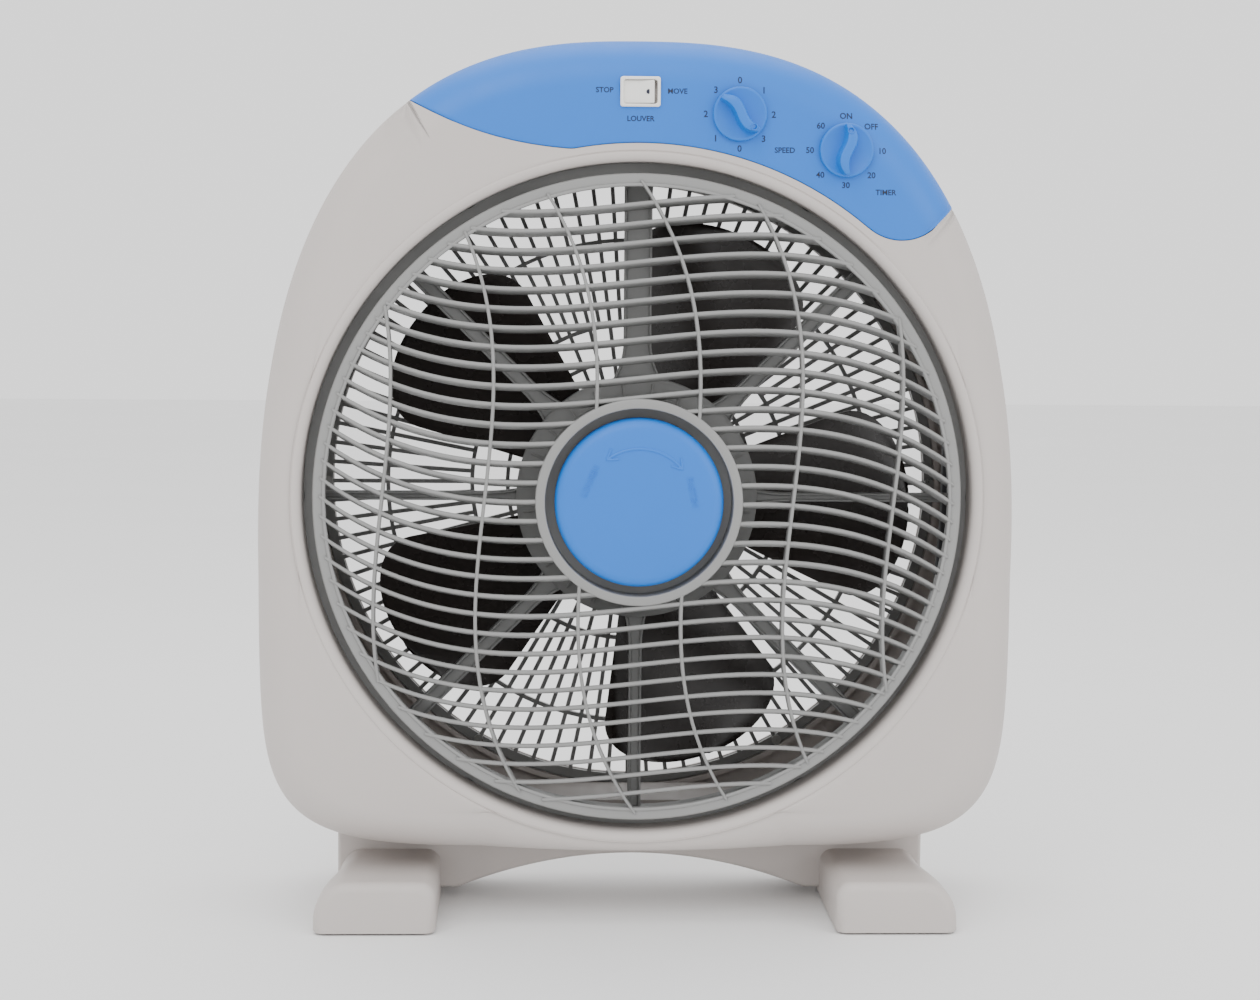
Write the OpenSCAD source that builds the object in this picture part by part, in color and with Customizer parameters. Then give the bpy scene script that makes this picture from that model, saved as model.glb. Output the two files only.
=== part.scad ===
// Box fan with a rotating louvre.
// Millimetres. The origin is on the floor under the middle of the fan, the front faces -Y and +Z is up.

/* [Housing] */
// Width across the widest part of the housing
body_w = 444; // [436:1:452]
// Height of the top of the housing above the floor
body_top = 513; // [508:1:520]
// Height of the lower edge of the housing above the floor
body_bottom = 40; // [38:1:42]
// Height at which the housing is widest
waist_z = 200; // [190:1:210]
// Front face of the housing, measured along Y
front_y = -66; // [-67:0.5:-65]
// Joint between the front and the rear housing
split_y = 4; // [0:1:8]
// Back face of the housing
back_y = 74; // [73:0.5:76]
// Wall thickness of both housings
wall = 2.8; // [2.4:0.1:3.2]
// Height of the fan's axis above the floor
ring_z = 248; // [247:0.5:249]
// Radius of the round opening in the front
lip_r = 193; // [192:0.5:194]

/* [Louvre] */
// Outer radius of the louvre's rim
rim_r = 186.5; // [186:0.1:187]
// Width of the rim
rim_w = 7.5; // [6:0.5:8]
// Front face of the rim
rim_y = -62; // [-63:0.5:-61]
// Depth of the vanes from front to back
vane_depth = 13; // [11:0.5:14]
// Thickness of a vane
vane_t = 2.2; // [1.8:0.1:2.6]
// Distance from one vane to the next
vane_pitch = 10.93; // [10.6:0.01:11]
// Number of vanes
vane_count = 32; // [30:2:32]
// Distance from one rib to the next
rib_pitch = 58.6; // [57:0.1:60]
// Number of ribs
rib_count = 6; // [4:2:6]
// Slope of the vanes' S curve at the middle
wave_slope = 0.1117; // [0.08:0.0001:0.14]
// Cubic part of the vanes' S curve, per square millimetre
wave_cubic = 0.0000081; // [0.000006:0.0000001:0.00001]
// Outer radius of the louvre's hub ring
hub_r = 59; // [58:0.5:60]
// Radius of the centre cap
cap_r = 48; // [46:0.5:49]

/* [Fan] */
// Radius swept by the blades
blade_r = 165; // [155:1:167]
// Number of blades
blade_count = 5; // [5:1:5]
// Radius of the blades' hub
blade_hub_r = 44; // [42:1:46]
// Radius of the motor's case
motor_r = 42; // [40:1:43]
// Radius of the motor's shaft
shaft_r = 4; // [3.5:0.5:5]

/* [Rear grille] */
// Radius of the rear grille
grille_r = 187; // [186:0.5:188]
// Number of radial bars in the outer field
bar_count = 96; // [72:24:96]
// Width of a radial bar
bar_w = 2.4; // [2:0.1:3]

/* [Controls] */
// Radius of the two knobs
knob_r = 15.3; // [14:0.1:16]
// Depth of a knob's handle
knob_handle = 10; // [8:0.5:11]
// Tilt of the rocker button to each side, in degrees
rocker_tilt = 11; // [8:1:12]

/* [Feet] */
// Overall length of a foot from front to back
foot_l = 176; // [172:1:180]
// Width of a foot where it meets the floor
foot_w = 70; // [68:1:72]
// Height of a foot
foot_h = 30; // [28:1:31]
// Distance from the middle of the fan to the middle of a foot
foot_x = 150; // [149:1:151]

/* [Hidden] */

// Finishes
housing_grey = [0.79, 0.77, 0.76];
louvre_grey = [0.60, 0.60, 0.60];
panel_blue = [0.28, 0.60, 0.82];
blade_brown = [0.23, 0.21, 0.21];
steel = [0.72, 0.72, 0.74];
copper = [0.72, 0.42, 0.22];
dark = [0.16, 0.16, 0.17];

$fn = 96;
gap = 0.3;            // clearance between pieces that don't touch
fit = 0.03;           // radial clearance of a running fit

// Housing outline: a superellipse, squarer below the waist than above it
top_power = 2.6;
low_power = 6;
low_taper = 0.025;
angle_step = 5;
angle_count = 360 / angle_step;
edge_r = 26;          // rounded front edge, where there is room for it
back_edge_r = 18;
side_draft = 3;
back_draft = 6;
lip_round = 5;
well_back = -40;      // back end of the well that the louvre turns in
back_lip_r = 190;
ledge_r = 183.5;

// Places on the control panel, as [x, z]
rocker_at = [-0.6, 480];
speed_at = [55.8, 468];
timer_at = [116.6, 448.2];
panel_t = 2.4;
panel_arc_r = 203.4;
hook_at = [149, 426.5];
hook_r = 29;

// Screw places, as [x, z]
housing_screw_at = [[172, 400], [205, 200], [180, 74], [74, 491]];
ring_screw_count = 6;
motor_screw_r = 36;
foot_screw_y = [18, 44];

// Louvre: its face is part of a large sphere
dome_r = 850;
dome_y = rim_y + sqrt(dome_r * dome_r - rim_r * rim_r);
hub_front = dome_y - sqrt(dome_r * dome_r - hub_r * hub_r);
hub_floor = -64;
boss_r = 9;

// Neck and legs under the housing
neck_x = 177;
neck_front = split_y + gap;
neck_back = 58;
arch_x = 119;
arch_z = 27;
arch_end = foot_x - foot_w / 2 - gap;
leg_z = 6;
sole_z = 1.2;
pad_y = 70;

// Front bracket, blades and motor, front to back along Y
bracket_front = -39.7;
bracket_back = -31.7;
ring_screw_r = 198.5;
blade_spread = 22.8;
blade_phase = 2.5;
blade_t = 2.2;
tip_round = 32;
hub_front_y = -22;
shield_front = 24;
core_front = 34;
core_back = 50;
shield_back = 60;
mount_front = 62.3;
grille_front = 66;
grille_back = 70;
mount_r = 52;

// Carrying pocket in the back, as a hole through the back face with a tray behind it
pocket_x = 58;
pocket_low = 458;
pocket_high = 484;
pocket_front = 40;

// Switches behind the panel
switch_front = -57;
timer_front = -51.5;
gland_at = [140, 84];

function wave(t) = wave_slope * t - wave_cubic * t * t * t;

// Value that is 1 on the outline, less inside it and more outside it
function outline_value(p) =
    let (
        above = p[1] >= waist_z,
        rise = (p[1] - waist_z) / (above ? body_top - waist_z : waist_z - body_bottom),
        power = above ? top_power : low_power,
        half = body_w / 2 * (above ? 1 : 1 - low_taper * rise * rise)
    ) pow(abs(p[0]) / half, power) + pow(abs(rise), power);

// Distance from the fan's axis to the outline in one direction, by halving an interval
function reach(angle, low = 150, high = 420, pass = 0) =
    let (middle = (low + high) / 2)
    pass == 22 ? middle
    : outline_value([middle * cos(angle), ring_z + middle * sin(angle)]) < 1
        ? reach(angle, middle, high, pass + 1)
        : reach(angle, low, middle, pass + 1);

REACH = [for (i = [0 : angle_count - 1]) reach(i * angle_step)];

// Cross-section of the front housing at one angle, as [radius, y], moved inwards by skin
function front_section(out, skin) =
    let (
        edge = min(edge_r, out - lip_r - 8),
        face = front_y + skin,
        side = out - side_draft - skin
    ) concat(
        [[lip_r + skin, face + lip_round], [lip_r + skin + 1.4, face + 1.4], [lip_r + skin + lip_round, face]],
        [for (a = [0 : 22.5 : 90])
            [side - edge * (1 - sin(a)), face + 1.2 + (edge * 0.85) * (1 - cos(a))]],
        [[out - skin, split_y], [out - skin - wall, split_y]],
        [for (a = [90 : -30 : 0])
            [side - wall - edge * (1 - sin(a)), face + 1.2 + wall + (edge * 0.85) * (1 - cos(a))]],
        [[lip_r + skin + lip_round, face + wall], [lip_r + skin + wall, face + lip_round + 1],
         [lip_r + skin + wall, well_back], [lip_r + skin, well_back]]
    );

// Cross-section of the rear housing at one angle
function rear_section(out) =
    let (
        edge = min(back_edge_r, out - back_lip_r - 6),
        side = out - back_draft,
        start = split_y + gap
    ) concat(
        [[out - wall, start], [out, start]],
        [for (a = [0 : 22.5 : 90]) [side - edge * (1 - cos(a)), back_y - edge * (1 - sin(a))]],
        [[ledge_r, back_y], [ledge_r, grille_back + gap], [back_lip_r, grille_back + gap],
         [back_lip_r, back_y - 12], [back_lip_r + wall, back_y - 12], [back_lip_r + wall, back_y - wall]],
        [for (a = [90 : -30 : 0])
            [side - wall - edge * (1 - cos(a)), back_y - wall - edge * (1 - sin(a))]]
    );

// Closed ring made by joining the cross-sections of all angles
module ring_shell(sections) {
    rows = len(sections);
    columns = len(sections[0]);
    points = [for (i = [0 : rows - 1], p = sections[i])
        [p[0] * cos(i * angle_step), p[1], ring_z + p[0] * sin(i * angle_step)]];
    faces = [for (i = [0 : rows - 1], j = [0 : columns - 1], half = [0, 1])
        let (
            next_i = (i + 1) % rows,
            next_j = (j + 1) % columns,
            a = i * columns + j,
            b = i * columns + next_j,
            c = next_i * columns + next_j,
            d = next_i * columns + j
        ) half == 0 ? [a, d, c] : [a, c, b]];
    polyhedron(points, faces);
}

// A flat shape drawn in x and z, made solid from y0 to y1
module slab(y0, y1) {
    translate([0, y1, 0]) rotate([90, 0, 0]) linear_extrude(y1 - y0) children();
}

// A round rod along Y with its centre at [x, z]
module rod(at, r, y0, y1, sides = 48) {
    translate([at[0], y0, at[1]]) rotate([-90, 0, 0]) cylinder(r = r, h = y1 - y0, $fn = sides);
}

// A turned shape on the fan's axis; the profile's points are [radius, y]
module turned(profile) {
    translate([0, 0, ring_z]) rotate([-90, 0, 0]) rotate_extrude($fn = 180) polygon(profile);
}

// Both mirrored copies of every housing screw place
function screw_places() = [for (p = housing_screw_at, side = [-1, 1]) [side * p[0], p[1]]];
function ring_places(r, count, start = 0) =
    [for (i = [0 : count - 1]) [r * cos(start + i * 360 / count), ring_z + r * sin(start + i * 360 / count)]];

// Outline of the control panel: an arc round the opening, a long tail to the left and a hook to the right
module panel_outline() {
    arc_start = 101;
    arc_end = 49.5;
    left_tip = [-148, 485];
    arc_first = [panel_arc_r * cos(arc_start), ring_z + panel_arc_r * sin(arc_start)];
    tail = [for (t = [0 : 0.125 : 1])
        pow(1 - t, 3) * left_tip + 3 * t * pow(1 - t, 2) * [-112, 462]
        + 3 * t * t * (1 - t) * [-82, 450.5] + t * t * t * arc_first];
    arc = [for (a = [arc_start - 3 : -3 : arc_end])
        [panel_arc_r * cos(a), ring_z + panel_arc_r * sin(a)]];
    hook = [for (a = [232 : 12 : 322]) hook_at + hook_r * [cos(a), sin(a)]];
    polygon(concat(tail, arc, hook, [[205, 445], [205, 560], [-148, 560]]));
}

module housing_boss(at, y0, y1) {
    difference() {
        rod(at, 5, y0, y1, 20);
        rod(at, 1.9, y0 + 6, y1 + 1, 14);
    }
}

module front_housing() {
    color(housing_grey) resize([body_w, 0, 0]) {
        difference() {
            union() {
                difference() {
                    ring_shell([for (out = REACH) front_section(out, 0)]);
                    slab(-80, split_y + 1) offset(delta = 0.25) panel_outline();
                }
                intersection() {
                    ring_shell([for (out = REACH) front_section(out, panel_t + 0.2)]);
                    slab(-80, split_y + 1) offset(delta = 2) panel_outline();
                }
                for (at = screw_places()) housing_boss(at, at[1] > 480 ? -51.5 : -58, split_y - gap);
                for (at = ring_places(ring_screw_r, ring_screw_count)) housing_boss(at, -60, well_back);
            }
            rod(speed_at, 5.5, -80, -50, 24);
            rod(timer_at, 5.5, -80, -50, 24);
            translate([rocker_at[0] - 10.4, -80, rocker_at[1] - 7.4]) cube([20.8, 30, 14.8]);
            for (at = panel_screw_places()) rod(at, 1.8, -70, -40, 14);
        }
    }
}

function panel_screw_places() = [[-70, 460], [-28, 462], [24, 478], [84, 466], [140, 412]];

module control_panel() {
    color(panel_blue) resize([0, 0, 0]) {
        difference() {
            intersection() {
                ring_shell([for (out = REACH) front_section(out, 0)]);
                slab(-80, split_y + 1) panel_outline();
            }
            ring_shell([for (out = REACH) front_section(out, panel_t)]);
            rod(speed_at, 4.5, -80, -50, 24);
            rod(timer_at, 4.5, -80, -50, 24);
            for (at = panel_screw_places()) rod(at, 1.6, -64.2, -50, 14);
            translate([rocker_at[0] - 10.2, -80, rocker_at[1] - 7.2]) cube([20.4, 30, 14.4]);
        }
    }
}

function arch(x) = arch_z * (1 - pow(x / arch_x, 2));

// Neck and legs seen from the front, moved inwards by inset
module neck_outline(inset) {
    side = neck_x - inset;
    inner = arch_end + inset;
    curve = [for (x = [-arch_end : arch_end / 14 : arch_end + 0.01]) [x, arch(x) + inset]];
    polygon(concat(
        [[-side, 56], [-side, leg_z + inset], [-inner, leg_z + inset], [-inner, arch(arch_end) + inset]],
        curve,
        [[inner, arch(arch_end) + inset], [inner, leg_z + inset], [side, leg_z + inset], [side, 56]]
    ));
}

module pocket_shape(grow) {
    translate([-pocket_x - grow, pocket_low - grow])
        square([2 * (pocket_x + grow), pocket_high - pocket_low + 2 * grow]);
}

module screw_well(at) {
    difference() {
        rod(at, 6, 17, back_y - 2, 20);
        rod(at, 4.4, 20, back_y + 1, 16);
        rod(at, 2.3, 16, 21, 14);
    }
}

module rear_housing() {
    color(housing_grey) resize([body_w, 0, 0]) {
        difference() {
            union() {
                ring_shell([for (out = REACH) rear_section(out)]);
                difference() {
                    slab(neck_front, neck_back) neck_outline(0);
                    slab(neck_front + wall, neck_back - wall) neck_outline(wall);
                    // the inside of the round body stays clear
                    rod([0, ring_z], 197, neck_front - 1, neck_back + 1, 72);
                }
                slab(pocket_front - wall, back_y - 1) pocket_shape(wall);
                for (at = screw_places()) screw_well(at);
                for (x = [-foot_x, foot_x], y = foot_screw_y)
                    translate([x, y, leg_z]) cylinder(r = 5, h = 14, $fn = 20);
                rod(gland_at, 11, back_y - 5, back_y, 24);
            }
            slab(pocket_front, back_y + 1) pocket_shape(0);
            for (at = screw_places()) rod(at, 4.4, 20, back_y + 1, 16);
            for (at = screw_places()) rod(at, 2.3, 10, 21, 14);
            for (at = ring_places(grille_r, ring_screw_count)) rod(at, 1.9, 69, back_y - 1, 14);
            for (x = [-foot_x, foot_x], y = foot_screw_y)
                translate([x, y, leg_z - 1]) cylinder(r = 1.9, h = 12, $fn = 14);
            rod(gland_at, 7.1, back_y - 8, back_y + 1, 24);
        }
    }
}

// A flat ring between two radii
module ring_area(inner, outer, inner_sides, outer_sides) {
    difference() {
        circle(r = outer, $fn = outer_sides);
        circle(r = inner, $fn = inner_sides);
    }
}

// The whole rear grille seen from behind: radial bars, rings, rim and the disc that carries the motor
module rear_bars() {
    ring_sides = bar_count / 2;
    difference() {
        union() {
            for (i = [0 : bar_count - 1]) {
                inner = i % 2 == 0 ? mount_r - 3 : 98;
                rotate(i * 360 / bar_count) translate([inner, -bar_w / 2]) square([grille_r - 2 - inner, bar_w]);
            }
            ring_area(76 - bar_w / 2, 76 + bar_w / 2, ring_sides, ring_sides);
            ring_area(98 - bar_w / 2, 98 + bar_w / 2, ring_sides, bar_count);
            ring_area(150 - bar_w / 2, 150 + bar_w / 2, bar_count, bar_count);
            ring_area(grille_r - 3, grille_r + 2.6, bar_count, bar_count);
            circle(r = mount_r, $fn = ring_sides);
        }
        for (i = [0 : ring_screw_count - 1])
            rotate(i * 360 / ring_screw_count) translate([grille_r, 0]) circle(r = 2, $fn = 16);
        for (i = [0 : 3])
            rotate(45 + i * 90) translate([motor_screw_r, 0]) circle(r = 2.2, $fn = 16);
    }
}

module rear_grille() {
    color(louvre_grey) translate([0, grille_back, ring_z]) rotate([90, 0, 0])
        linear_extrude(grille_back - grille_front) offset(delta = 0.005) rear_bars();
}

// Plate that spreads the motor's weight over the middle of the rear grille
module motor_plate() {
    color(steel) difference() {
        turned([[0, mount_front], [mount_r - 3, mount_front], [mount_r - 3, grille_front], [0, grille_front]]);
        for (at = ring_places(motor_screw_r, 4, 45)) rod(at, 2.2, mount_front - 1, grille_front + 1);
    }
}

// One spoke of the bracket: a channel with a web and two side ribs
module spoke(angle, width) {
    translate([0, 0, ring_z]) rotate([0, -angle, 0]) difference() {
        translate([68.5, bracket_front + 0.3, -width / 2]) cube([116, bracket_back - bracket_front - 0.6, width]);
        translate([60, bracket_front + 2.5, 1.8 - width / 2]) cube([130, 10, width - 3.6]);
    }
}

module front_bracket() {
    widths = [5, 9, 16, 9, 5, 9, 7.6, 9];
    color(louvre_grey) difference() {
        union() {
            for (i = [0 : 7]) spoke(i * 45, widths[i]);
            turned([[183, bracket_front], [196, bracket_front], [196, -36], [186, -36],
                    [186, bracket_back], [183, bracket_back]]);
            turned([[4.4, -56], [34, -56], [58, -47.5], [70, -44], [70, bracket_back], [67, bracket_back],
                    [67, -41.6], [57, -44.8], [33, -53.2], [4.4, -53.2]]);
            for (at = ring_places(ring_screw_r, ring_screw_count)) rod(at, 6.5, bracket_front + 0.2, -35.7);
        }
        for (at = ring_places(ring_screw_r, ring_screw_count)) rod(at, 2.2, -41, -35);
        for (side = [-1, 1]) rod([side * 29, ring_z], 1.7, -57, -50);
    }
}

// A foot seen from the front, with its middle at x = 0 and its outer side towards +x
module foot_outline() {
    half = foot_w / 2;
    polygon(concat(
        [[half, sole_z], [half, 5]],
        [for (a = [0 : 15 : 90]) [half - 20 + 20 * cos(a), 6 + (foot_h - 6) * sin(a)]],
        [for (a = [90 : 15 : 165]) [8 - half + 8 + 9 * cos(a), foot_h - 9 + 9 * sin(a)]],
        [[-half, 5], [-half, sole_z]]
    ));
}

// A foot seen from the side
module foot_side() {
    half = foot_l / 2;
    polygon(concat(
        [[-half, sole_z]],
        [for (a = [180 : -15 : 90]) [-half + 9 + 7 * cos(a) , foot_h - 9 + 7 * sin(a)]],
        [[-4, foot_h], [60, foot_h]],
        [for (a = [90 : -15 : 0]) [half - 9 + 7 * cos(a), foot_h - 9 + 7 * sin(a)]],
        [[half, sole_z]]
    ));
}

module foot(side) {
    color(housing_grey) difference() {
        intersection() {
            translate([side * foot_x, 0, 0]) mirror([side < 0 ? 1 : 0, 0, 0])
                slab(-foot_l / 2, foot_l / 2) foot_outline();
            translate([side * foot_x - 50, 0, 0]) rotate([90, 0, 90]) linear_extrude(100) foot_side();
        }
        translate([side * foot_x - 50, neck_front - gap, leg_z - 0.2])
            cube([100, neck_back - neck_front + 2 * gap, 40]);
        for (y = foot_screw_y) translate([side * foot_x, y, -1]) {
            cylinder(r = 2.2, h = 10);
            cylinder(r = 4.2, h = 4.2);
        }
        for (y = [-pad_y, pad_y]) translate([side * foot_x, y, -1]) cylinder(r = 10.2, h = 3.8);
    }
}

module foot_left() {
    foot(-1);
}

module foot_right() {
    foot(1);
}

module foot_pads() {
    color(dark) for (x = [-foot_x, foot_x], y = [-pad_y, pad_y])
        translate([x, y, 0]) cylinder(r = 10, h = 2.8);
}

// A screw along Y whose head is at y and whose shank runs by length, towards -Y if that is negative
module screw(at, y, length, r = 1.8, head = 3.6) {
    back = length < 0;
    rod(at, r, back ? y + length : y, back ? y : y + length, 32);
    rod(at, head, back ? y : y - 2.2, back ? y + 2.2 : y, 32);
}

module housing_screws() {
    color(steel) for (at = screw_places()) screw(at, 20, -28, 1.85, 4);
}

module bracket_screws() {
    color(steel) for (at = ring_places(ring_screw_r, ring_screw_count)) screw(at, -35.7, -16, 1.85);
}

module grille_screws() {
    color(steel) for (at = ring_places(grille_r, ring_screw_count)) screw(at, grille_front, 6.6, 1.85, 3);
}

module motor_screws() {
    color(steel) for (at = ring_places(motor_screw_r, 4, 45)) screw(at, grille_back, -12);
}

module panel_screws() {
    color(steel) for (at = panel_screw_places()) screw(at, -58.6, -5, 1.5, 3);
}

module foot_screws() {
    color(steel) for (x = [-foot_x, foot_x], y = foot_screw_y) translate([x, y, 0]) {
        translate([0, 0, 1.4]) cylinder(r = 3.8, h = 1.8);
        translate([0, 0, 3.2]) cylinder(r = 1.85, h = 12);
    }
}

module motor_front_shield() {
    color(steel) turned([[8.02, 14], [12, 14], [14, 22], [motor_r - 3, shield_front], [motor_r, shield_front + 3],
        [motor_r, core_front], [motor_r - 2.5, core_front], [motor_r - 2.5, shield_front + 4],
        [14, 24.8], [8.02, 24.8]]);
}

module motor_rear_shield() {
    color(steel) difference() {
        union() {
            turned([[8.02, 52], [8.02, 61.5], [14, 61.5], [motor_r - 3, shield_back],
                    [motor_r, shield_back - 3], [motor_r, core_back], [motor_r - 2.5, core_back],
                    [motor_r - 2.5, shield_back - 3.5], [14, 58.5], [12, 52]]);
            for (at = ring_places(motor_screw_r, 4, 45)) rod(at, 5, shield_back - 3, mount_front);
        }
        for (at = ring_places(motor_screw_r, 4, 45)) rod(at, 1.83, shield_back - 6, mount_front + 1);
    }
}

module stator_core() {
    color(steel) turned([[22.4, core_front], [motor_r, core_front], [motor_r, core_back], [22.4, core_back]]);
}

module stator_windings() {
    color(copper) for (y = [[core_front - 5, core_front], [core_back, core_back + 5]])
        turned([[25, y[0]], [36, y[0]], [36, y[1]], [25, y[1]]]);
}

module bearing(y0, y1) {
    color("goldenrod") turned([[shaft_r + fit, y0], [8, y0], [8, y1], [shaft_r + fit, y1]]);
}

module front_bearing() {
    bearing(15, 24.5);
}

module rear_bearing() {
    bearing(52.5, 61);
}

module motor_rotor() {
    color(steel) turned([[shaft_r, core_front + 0.5], [22, core_front + 0.5], [22, core_back - 0.5],
        [shaft_r, core_back - 0.5]]);
}

module motor_shaft() {
    color(steel) difference() {
        turned([[0, -27], [shaft_r - 0.5, -27], [shaft_r, -26.5], [shaft_r, 61], [0, 61]]);
        translate([0, 10, ring_z - 20]) cylinder(r = 1.52, h = 40);
    }
}

module run_capacitor() {
    color(dark) translate([-112, 6, 440]) cube([44, 26, 20]);
}

// Points across one blade: u runs from hub to tip, v from the leading to the trailing edge, face is 0 or 1
function blade_point(u, v, face) =
    let (
        r = blade_hub_r - 2 + (blade_r - blade_hub_r + 2) * sin(90 * u),
        past = max(0, (r - (blade_r - tip_round)) / tip_round),
        spread = blade_spread * pow(1 - 0.999 * pow(past, 2.2), 1 / 2.2),
        angle = spread * (2 * v - 1),
        steep = 0.62 - 0.30 * u,
        camber = 4.5 * (1 - pow(2 * v - 1, 2)),
        depth = r * sin(angle) * steep + camber - 4
    ) [r * cos(angle), depth + (face == 0 ? 0 : blade_t), r * sin(angle)];

module blade() {
    rows = 9;
    columns = 7;
    count = rows * columns;
    points = [for (face = [0, 1], i = [0 : rows - 1], j = [0 : columns - 1])
        blade_point(i / (rows - 1), j / (columns - 1), face)];
    sheet = [for (i = [0 : rows - 2], j = [0 : columns - 2], half = [0, 1])
        let (a = i * columns + j, b = a + 1, c = a + columns, d = c + 1)
        half == 0 ? [a, b, c] : [b, d, c]];
    rim = concat(
        [for (j = [0 : columns - 1]) j],
        [for (i = [1 : rows - 1]) i * columns + columns - 1],
        [for (j = [columns - 2 : -1 : 0]) (rows - 1) * columns + j],
        [for (i = [rows - 2 : -1 : 1]) i * columns]
    );
    walls = [for (k = [0 : len(rim) - 1], half = [0, 1])
        let (a = rim[k], b = rim[(k + 1) % len(rim)])
        half == 0 ? [b, a, a + count] : [b, a + count, b + count]];
    other = [for (f = sheet) [f[0] + count, f[2] + count, f[1] + count]];
    polyhedron(points, concat(sheet, other, walls));
}

module fan_blade() {
    color(blade_brown) union() {
        difference() {
            turned([[shaft_r + fit, hub_front_y], [blade_hub_r - 6, hub_front_y], [blade_hub_r, hub_front_y + 5],
                    [blade_hub_r, 17], [blade_hub_r - 2.5, 17], [blade_hub_r - 2.5, hub_front_y + 6],
                    [blade_hub_r - 7, hub_front_y + 3], [9, hub_front_y + 3], [9, 12.5], [shaft_r + fit, 12.5]]);
            translate([0, 10, ring_z]) rotate([90, 0, 0]) translate([-1.8, -12, -4]) cube([3.6, 24, 6]);
        }
        for (i = [0 : blade_count - 1])
            translate([0, 0, ring_z]) rotate([0, blade_phase + i * 360 / blade_count, 0]) blade();
    }
}

module blade_pin() {
    color(steel) translate([0, 10, ring_z - 8]) cylinder(r = 1.5, h = 16);
}

module blade_nut() {
    color(blade_brown) turned([[0, -31], [9, -31], [12, -29], [12, hub_front_y - 0.2],
        [shaft_r + fit, hub_front_y - 0.2], [shaft_r + fit, -27.3], [0, -27.3]]);
}

module louvre_motor() {
    color(steel) union() {
        turned([[0, -37], [25, -37], [25, -52.9], [3.8, -52.9], [3.8, -40], [0, -40]]);
        for (side = [-1, 1]) difference() {
            translate([side < 0 ? -33 : 24, -52.9, ring_z - 4]) cube([9, 1.2, 8]);
            rod([side * 29, ring_z], 1.7, -54, -50);
        }
    }
}

module louvre_motor_screws() {
    color(steel) for (side = [-1, 1]) screw([side * 29, ring_z], -51.7, -4, 1.6, 3);
}

module louvre_output_shaft() {
    color(steel) turned([[0, -74], [3.5, -74], [3.5, -40.5], [0, -40.5]]);
}

module louvre_drive_hub() {
    color(louvre_grey) turned([[3.5, -76], [boss_r - 1, -76], [boss_r, -75], [boss_r, -61], [16, -61],
        [16, -58], [3.5, -58]]);
}

// The louvre's vanes and ribs seen from the front
module louvre_bars() {
    half = vane_t / 4;
    end = rim_r + 2;
    steps = 18;
    offset(delta = vane_t / 4) intersection() {
        difference() {
            circle(r = rim_r - rim_w / 2);
            circle(r = hub_r - 3);
        }
        union() {
            for (i = [0 : vane_count - 1]) {
                level = (i - (vane_count - 1) / 2) * vane_pitch;
                polygon(concat(
                    [for (k = [0 : steps]) let (t = end * (2 * k / steps - 1)) [t, level + wave(t) - half]],
                    [for (k = [steps : -1 : 0]) let (t = end * (2 * k / steps - 1)) [t, level + wave(t) + half]]
                ));
            }
            for (i = [0 : rib_count - 1]) {
                level = (i - (rib_count - 1) / 2) * rib_pitch;
                polygon(concat(
                    [for (k = [0 : steps]) let (t = end * (2 * k / steps - 1)) [level + wave(t) + half, t]],
                    [for (k = [steps : -1 : 0]) let (t = end * (2 * k / steps - 1)) [level + wave(t) - half, t]]
                ));
            }
        }
    }
}

module louvre_grille() {
    color(louvre_grey) union() {
        difference() {
            intersection() {
                translate([0, -44, ring_z]) rotate([90, 0, 0]) linear_extrude(42) louvre_bars();
                translate([0, dome_y, ring_z]) sphere(r = dome_r, $fn = 180);
            }
            translate([0, dome_y + vane_depth, ring_z]) sphere(r = dome_r, $fn = 180);
        }
        turned([[rim_r - rim_w, rim_y], [rim_r - 1, rim_y], [rim_r, rim_y + 1], [rim_r, rim_y + vane_depth],
                [rim_r - 2, rim_y + vane_depth], [rim_r - 2, rim_y + 4], [rim_r - rim_w, rim_y + 4]]);
        turned([[boss_r + fit, hub_floor], [hub_r - 5.5, hub_floor], [hub_r - 5.5, hub_front], [hub_r - 1, hub_front],
                [hub_r, hub_front + 1], [hub_r, hub_floor + 3], [boss_r + fit, hub_floor + 3]]);
    }
}

module clamp_washer() {
    color(steel) turned([[boss_r + 0.2, -66], [18, -66], [18, hub_floor - 0.2], [boss_r + 0.2, hub_floor - 0.2]]);
}

module clamp_cap() {
    color(panel_blue) turned([[0, -87], [22, -86.6], [38, -85.4], [45, -83.2], [cap_r, -79.5], [cap_r, -70],
        [cap_r - 2.2, -70], [cap_r - 2.2, -79], [43.5, -81], [37, -83], [14, -84.2], [14, -66.3],
        [boss_r + fit, -66.3], [boss_r + fit, -81.5], [0, -81.5]]);
}

// Spindle that turns with its knob
module spindle(at, back) {
    color(steel) rod(at, 3, -76, back);
}

// Knob: a round base with a wavy grip across it, drawn pointing up and turned by angle
module knob(at, angle) {
    steps = 16;
    length = knob_r - 1;
    color(panel_blue) translate([at[0], 0, at[1]]) rotate([0, angle, 0]) difference() {
        union() {
            rotate([-90, 0, 0]) translate([0, 0, -69.6]) cylinder(r = knob_r, h = 3);
            translate([0, -69, 0]) rotate([90, 0, 0]) linear_extrude(knob_handle) polygon(concat(
                [for (k = [0 : steps]) let (t = 2 * k / steps - 1)
                    [-(3.6 * sqrt(1 - 0.9 * t * t)) + 2 * sin(180 * t), length * t]],
                [for (k = [steps : -1 : 0]) let (t = 2 * k / steps - 1)
                    [3.6 * sqrt(1 - 0.9 * t * t) + 2 * sin(180 * t), length * t]]
            ));
        }
        translate([0, -76, 0]) rotate([-90, 0, 0]) cylinder(r = 3, h = 12);
    }
}

module switch_case(at, width, height, front, back) {
    difference() {
        union() {
            translate([at[0] - width / 2, front, at[1] - height / 2])
                cube([width, back - front, height]);
            rod(at, 4.2, -64.5, front + 1);
        }
        rod(at, 3 + fit, -66, back - 3);
    }
}

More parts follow.
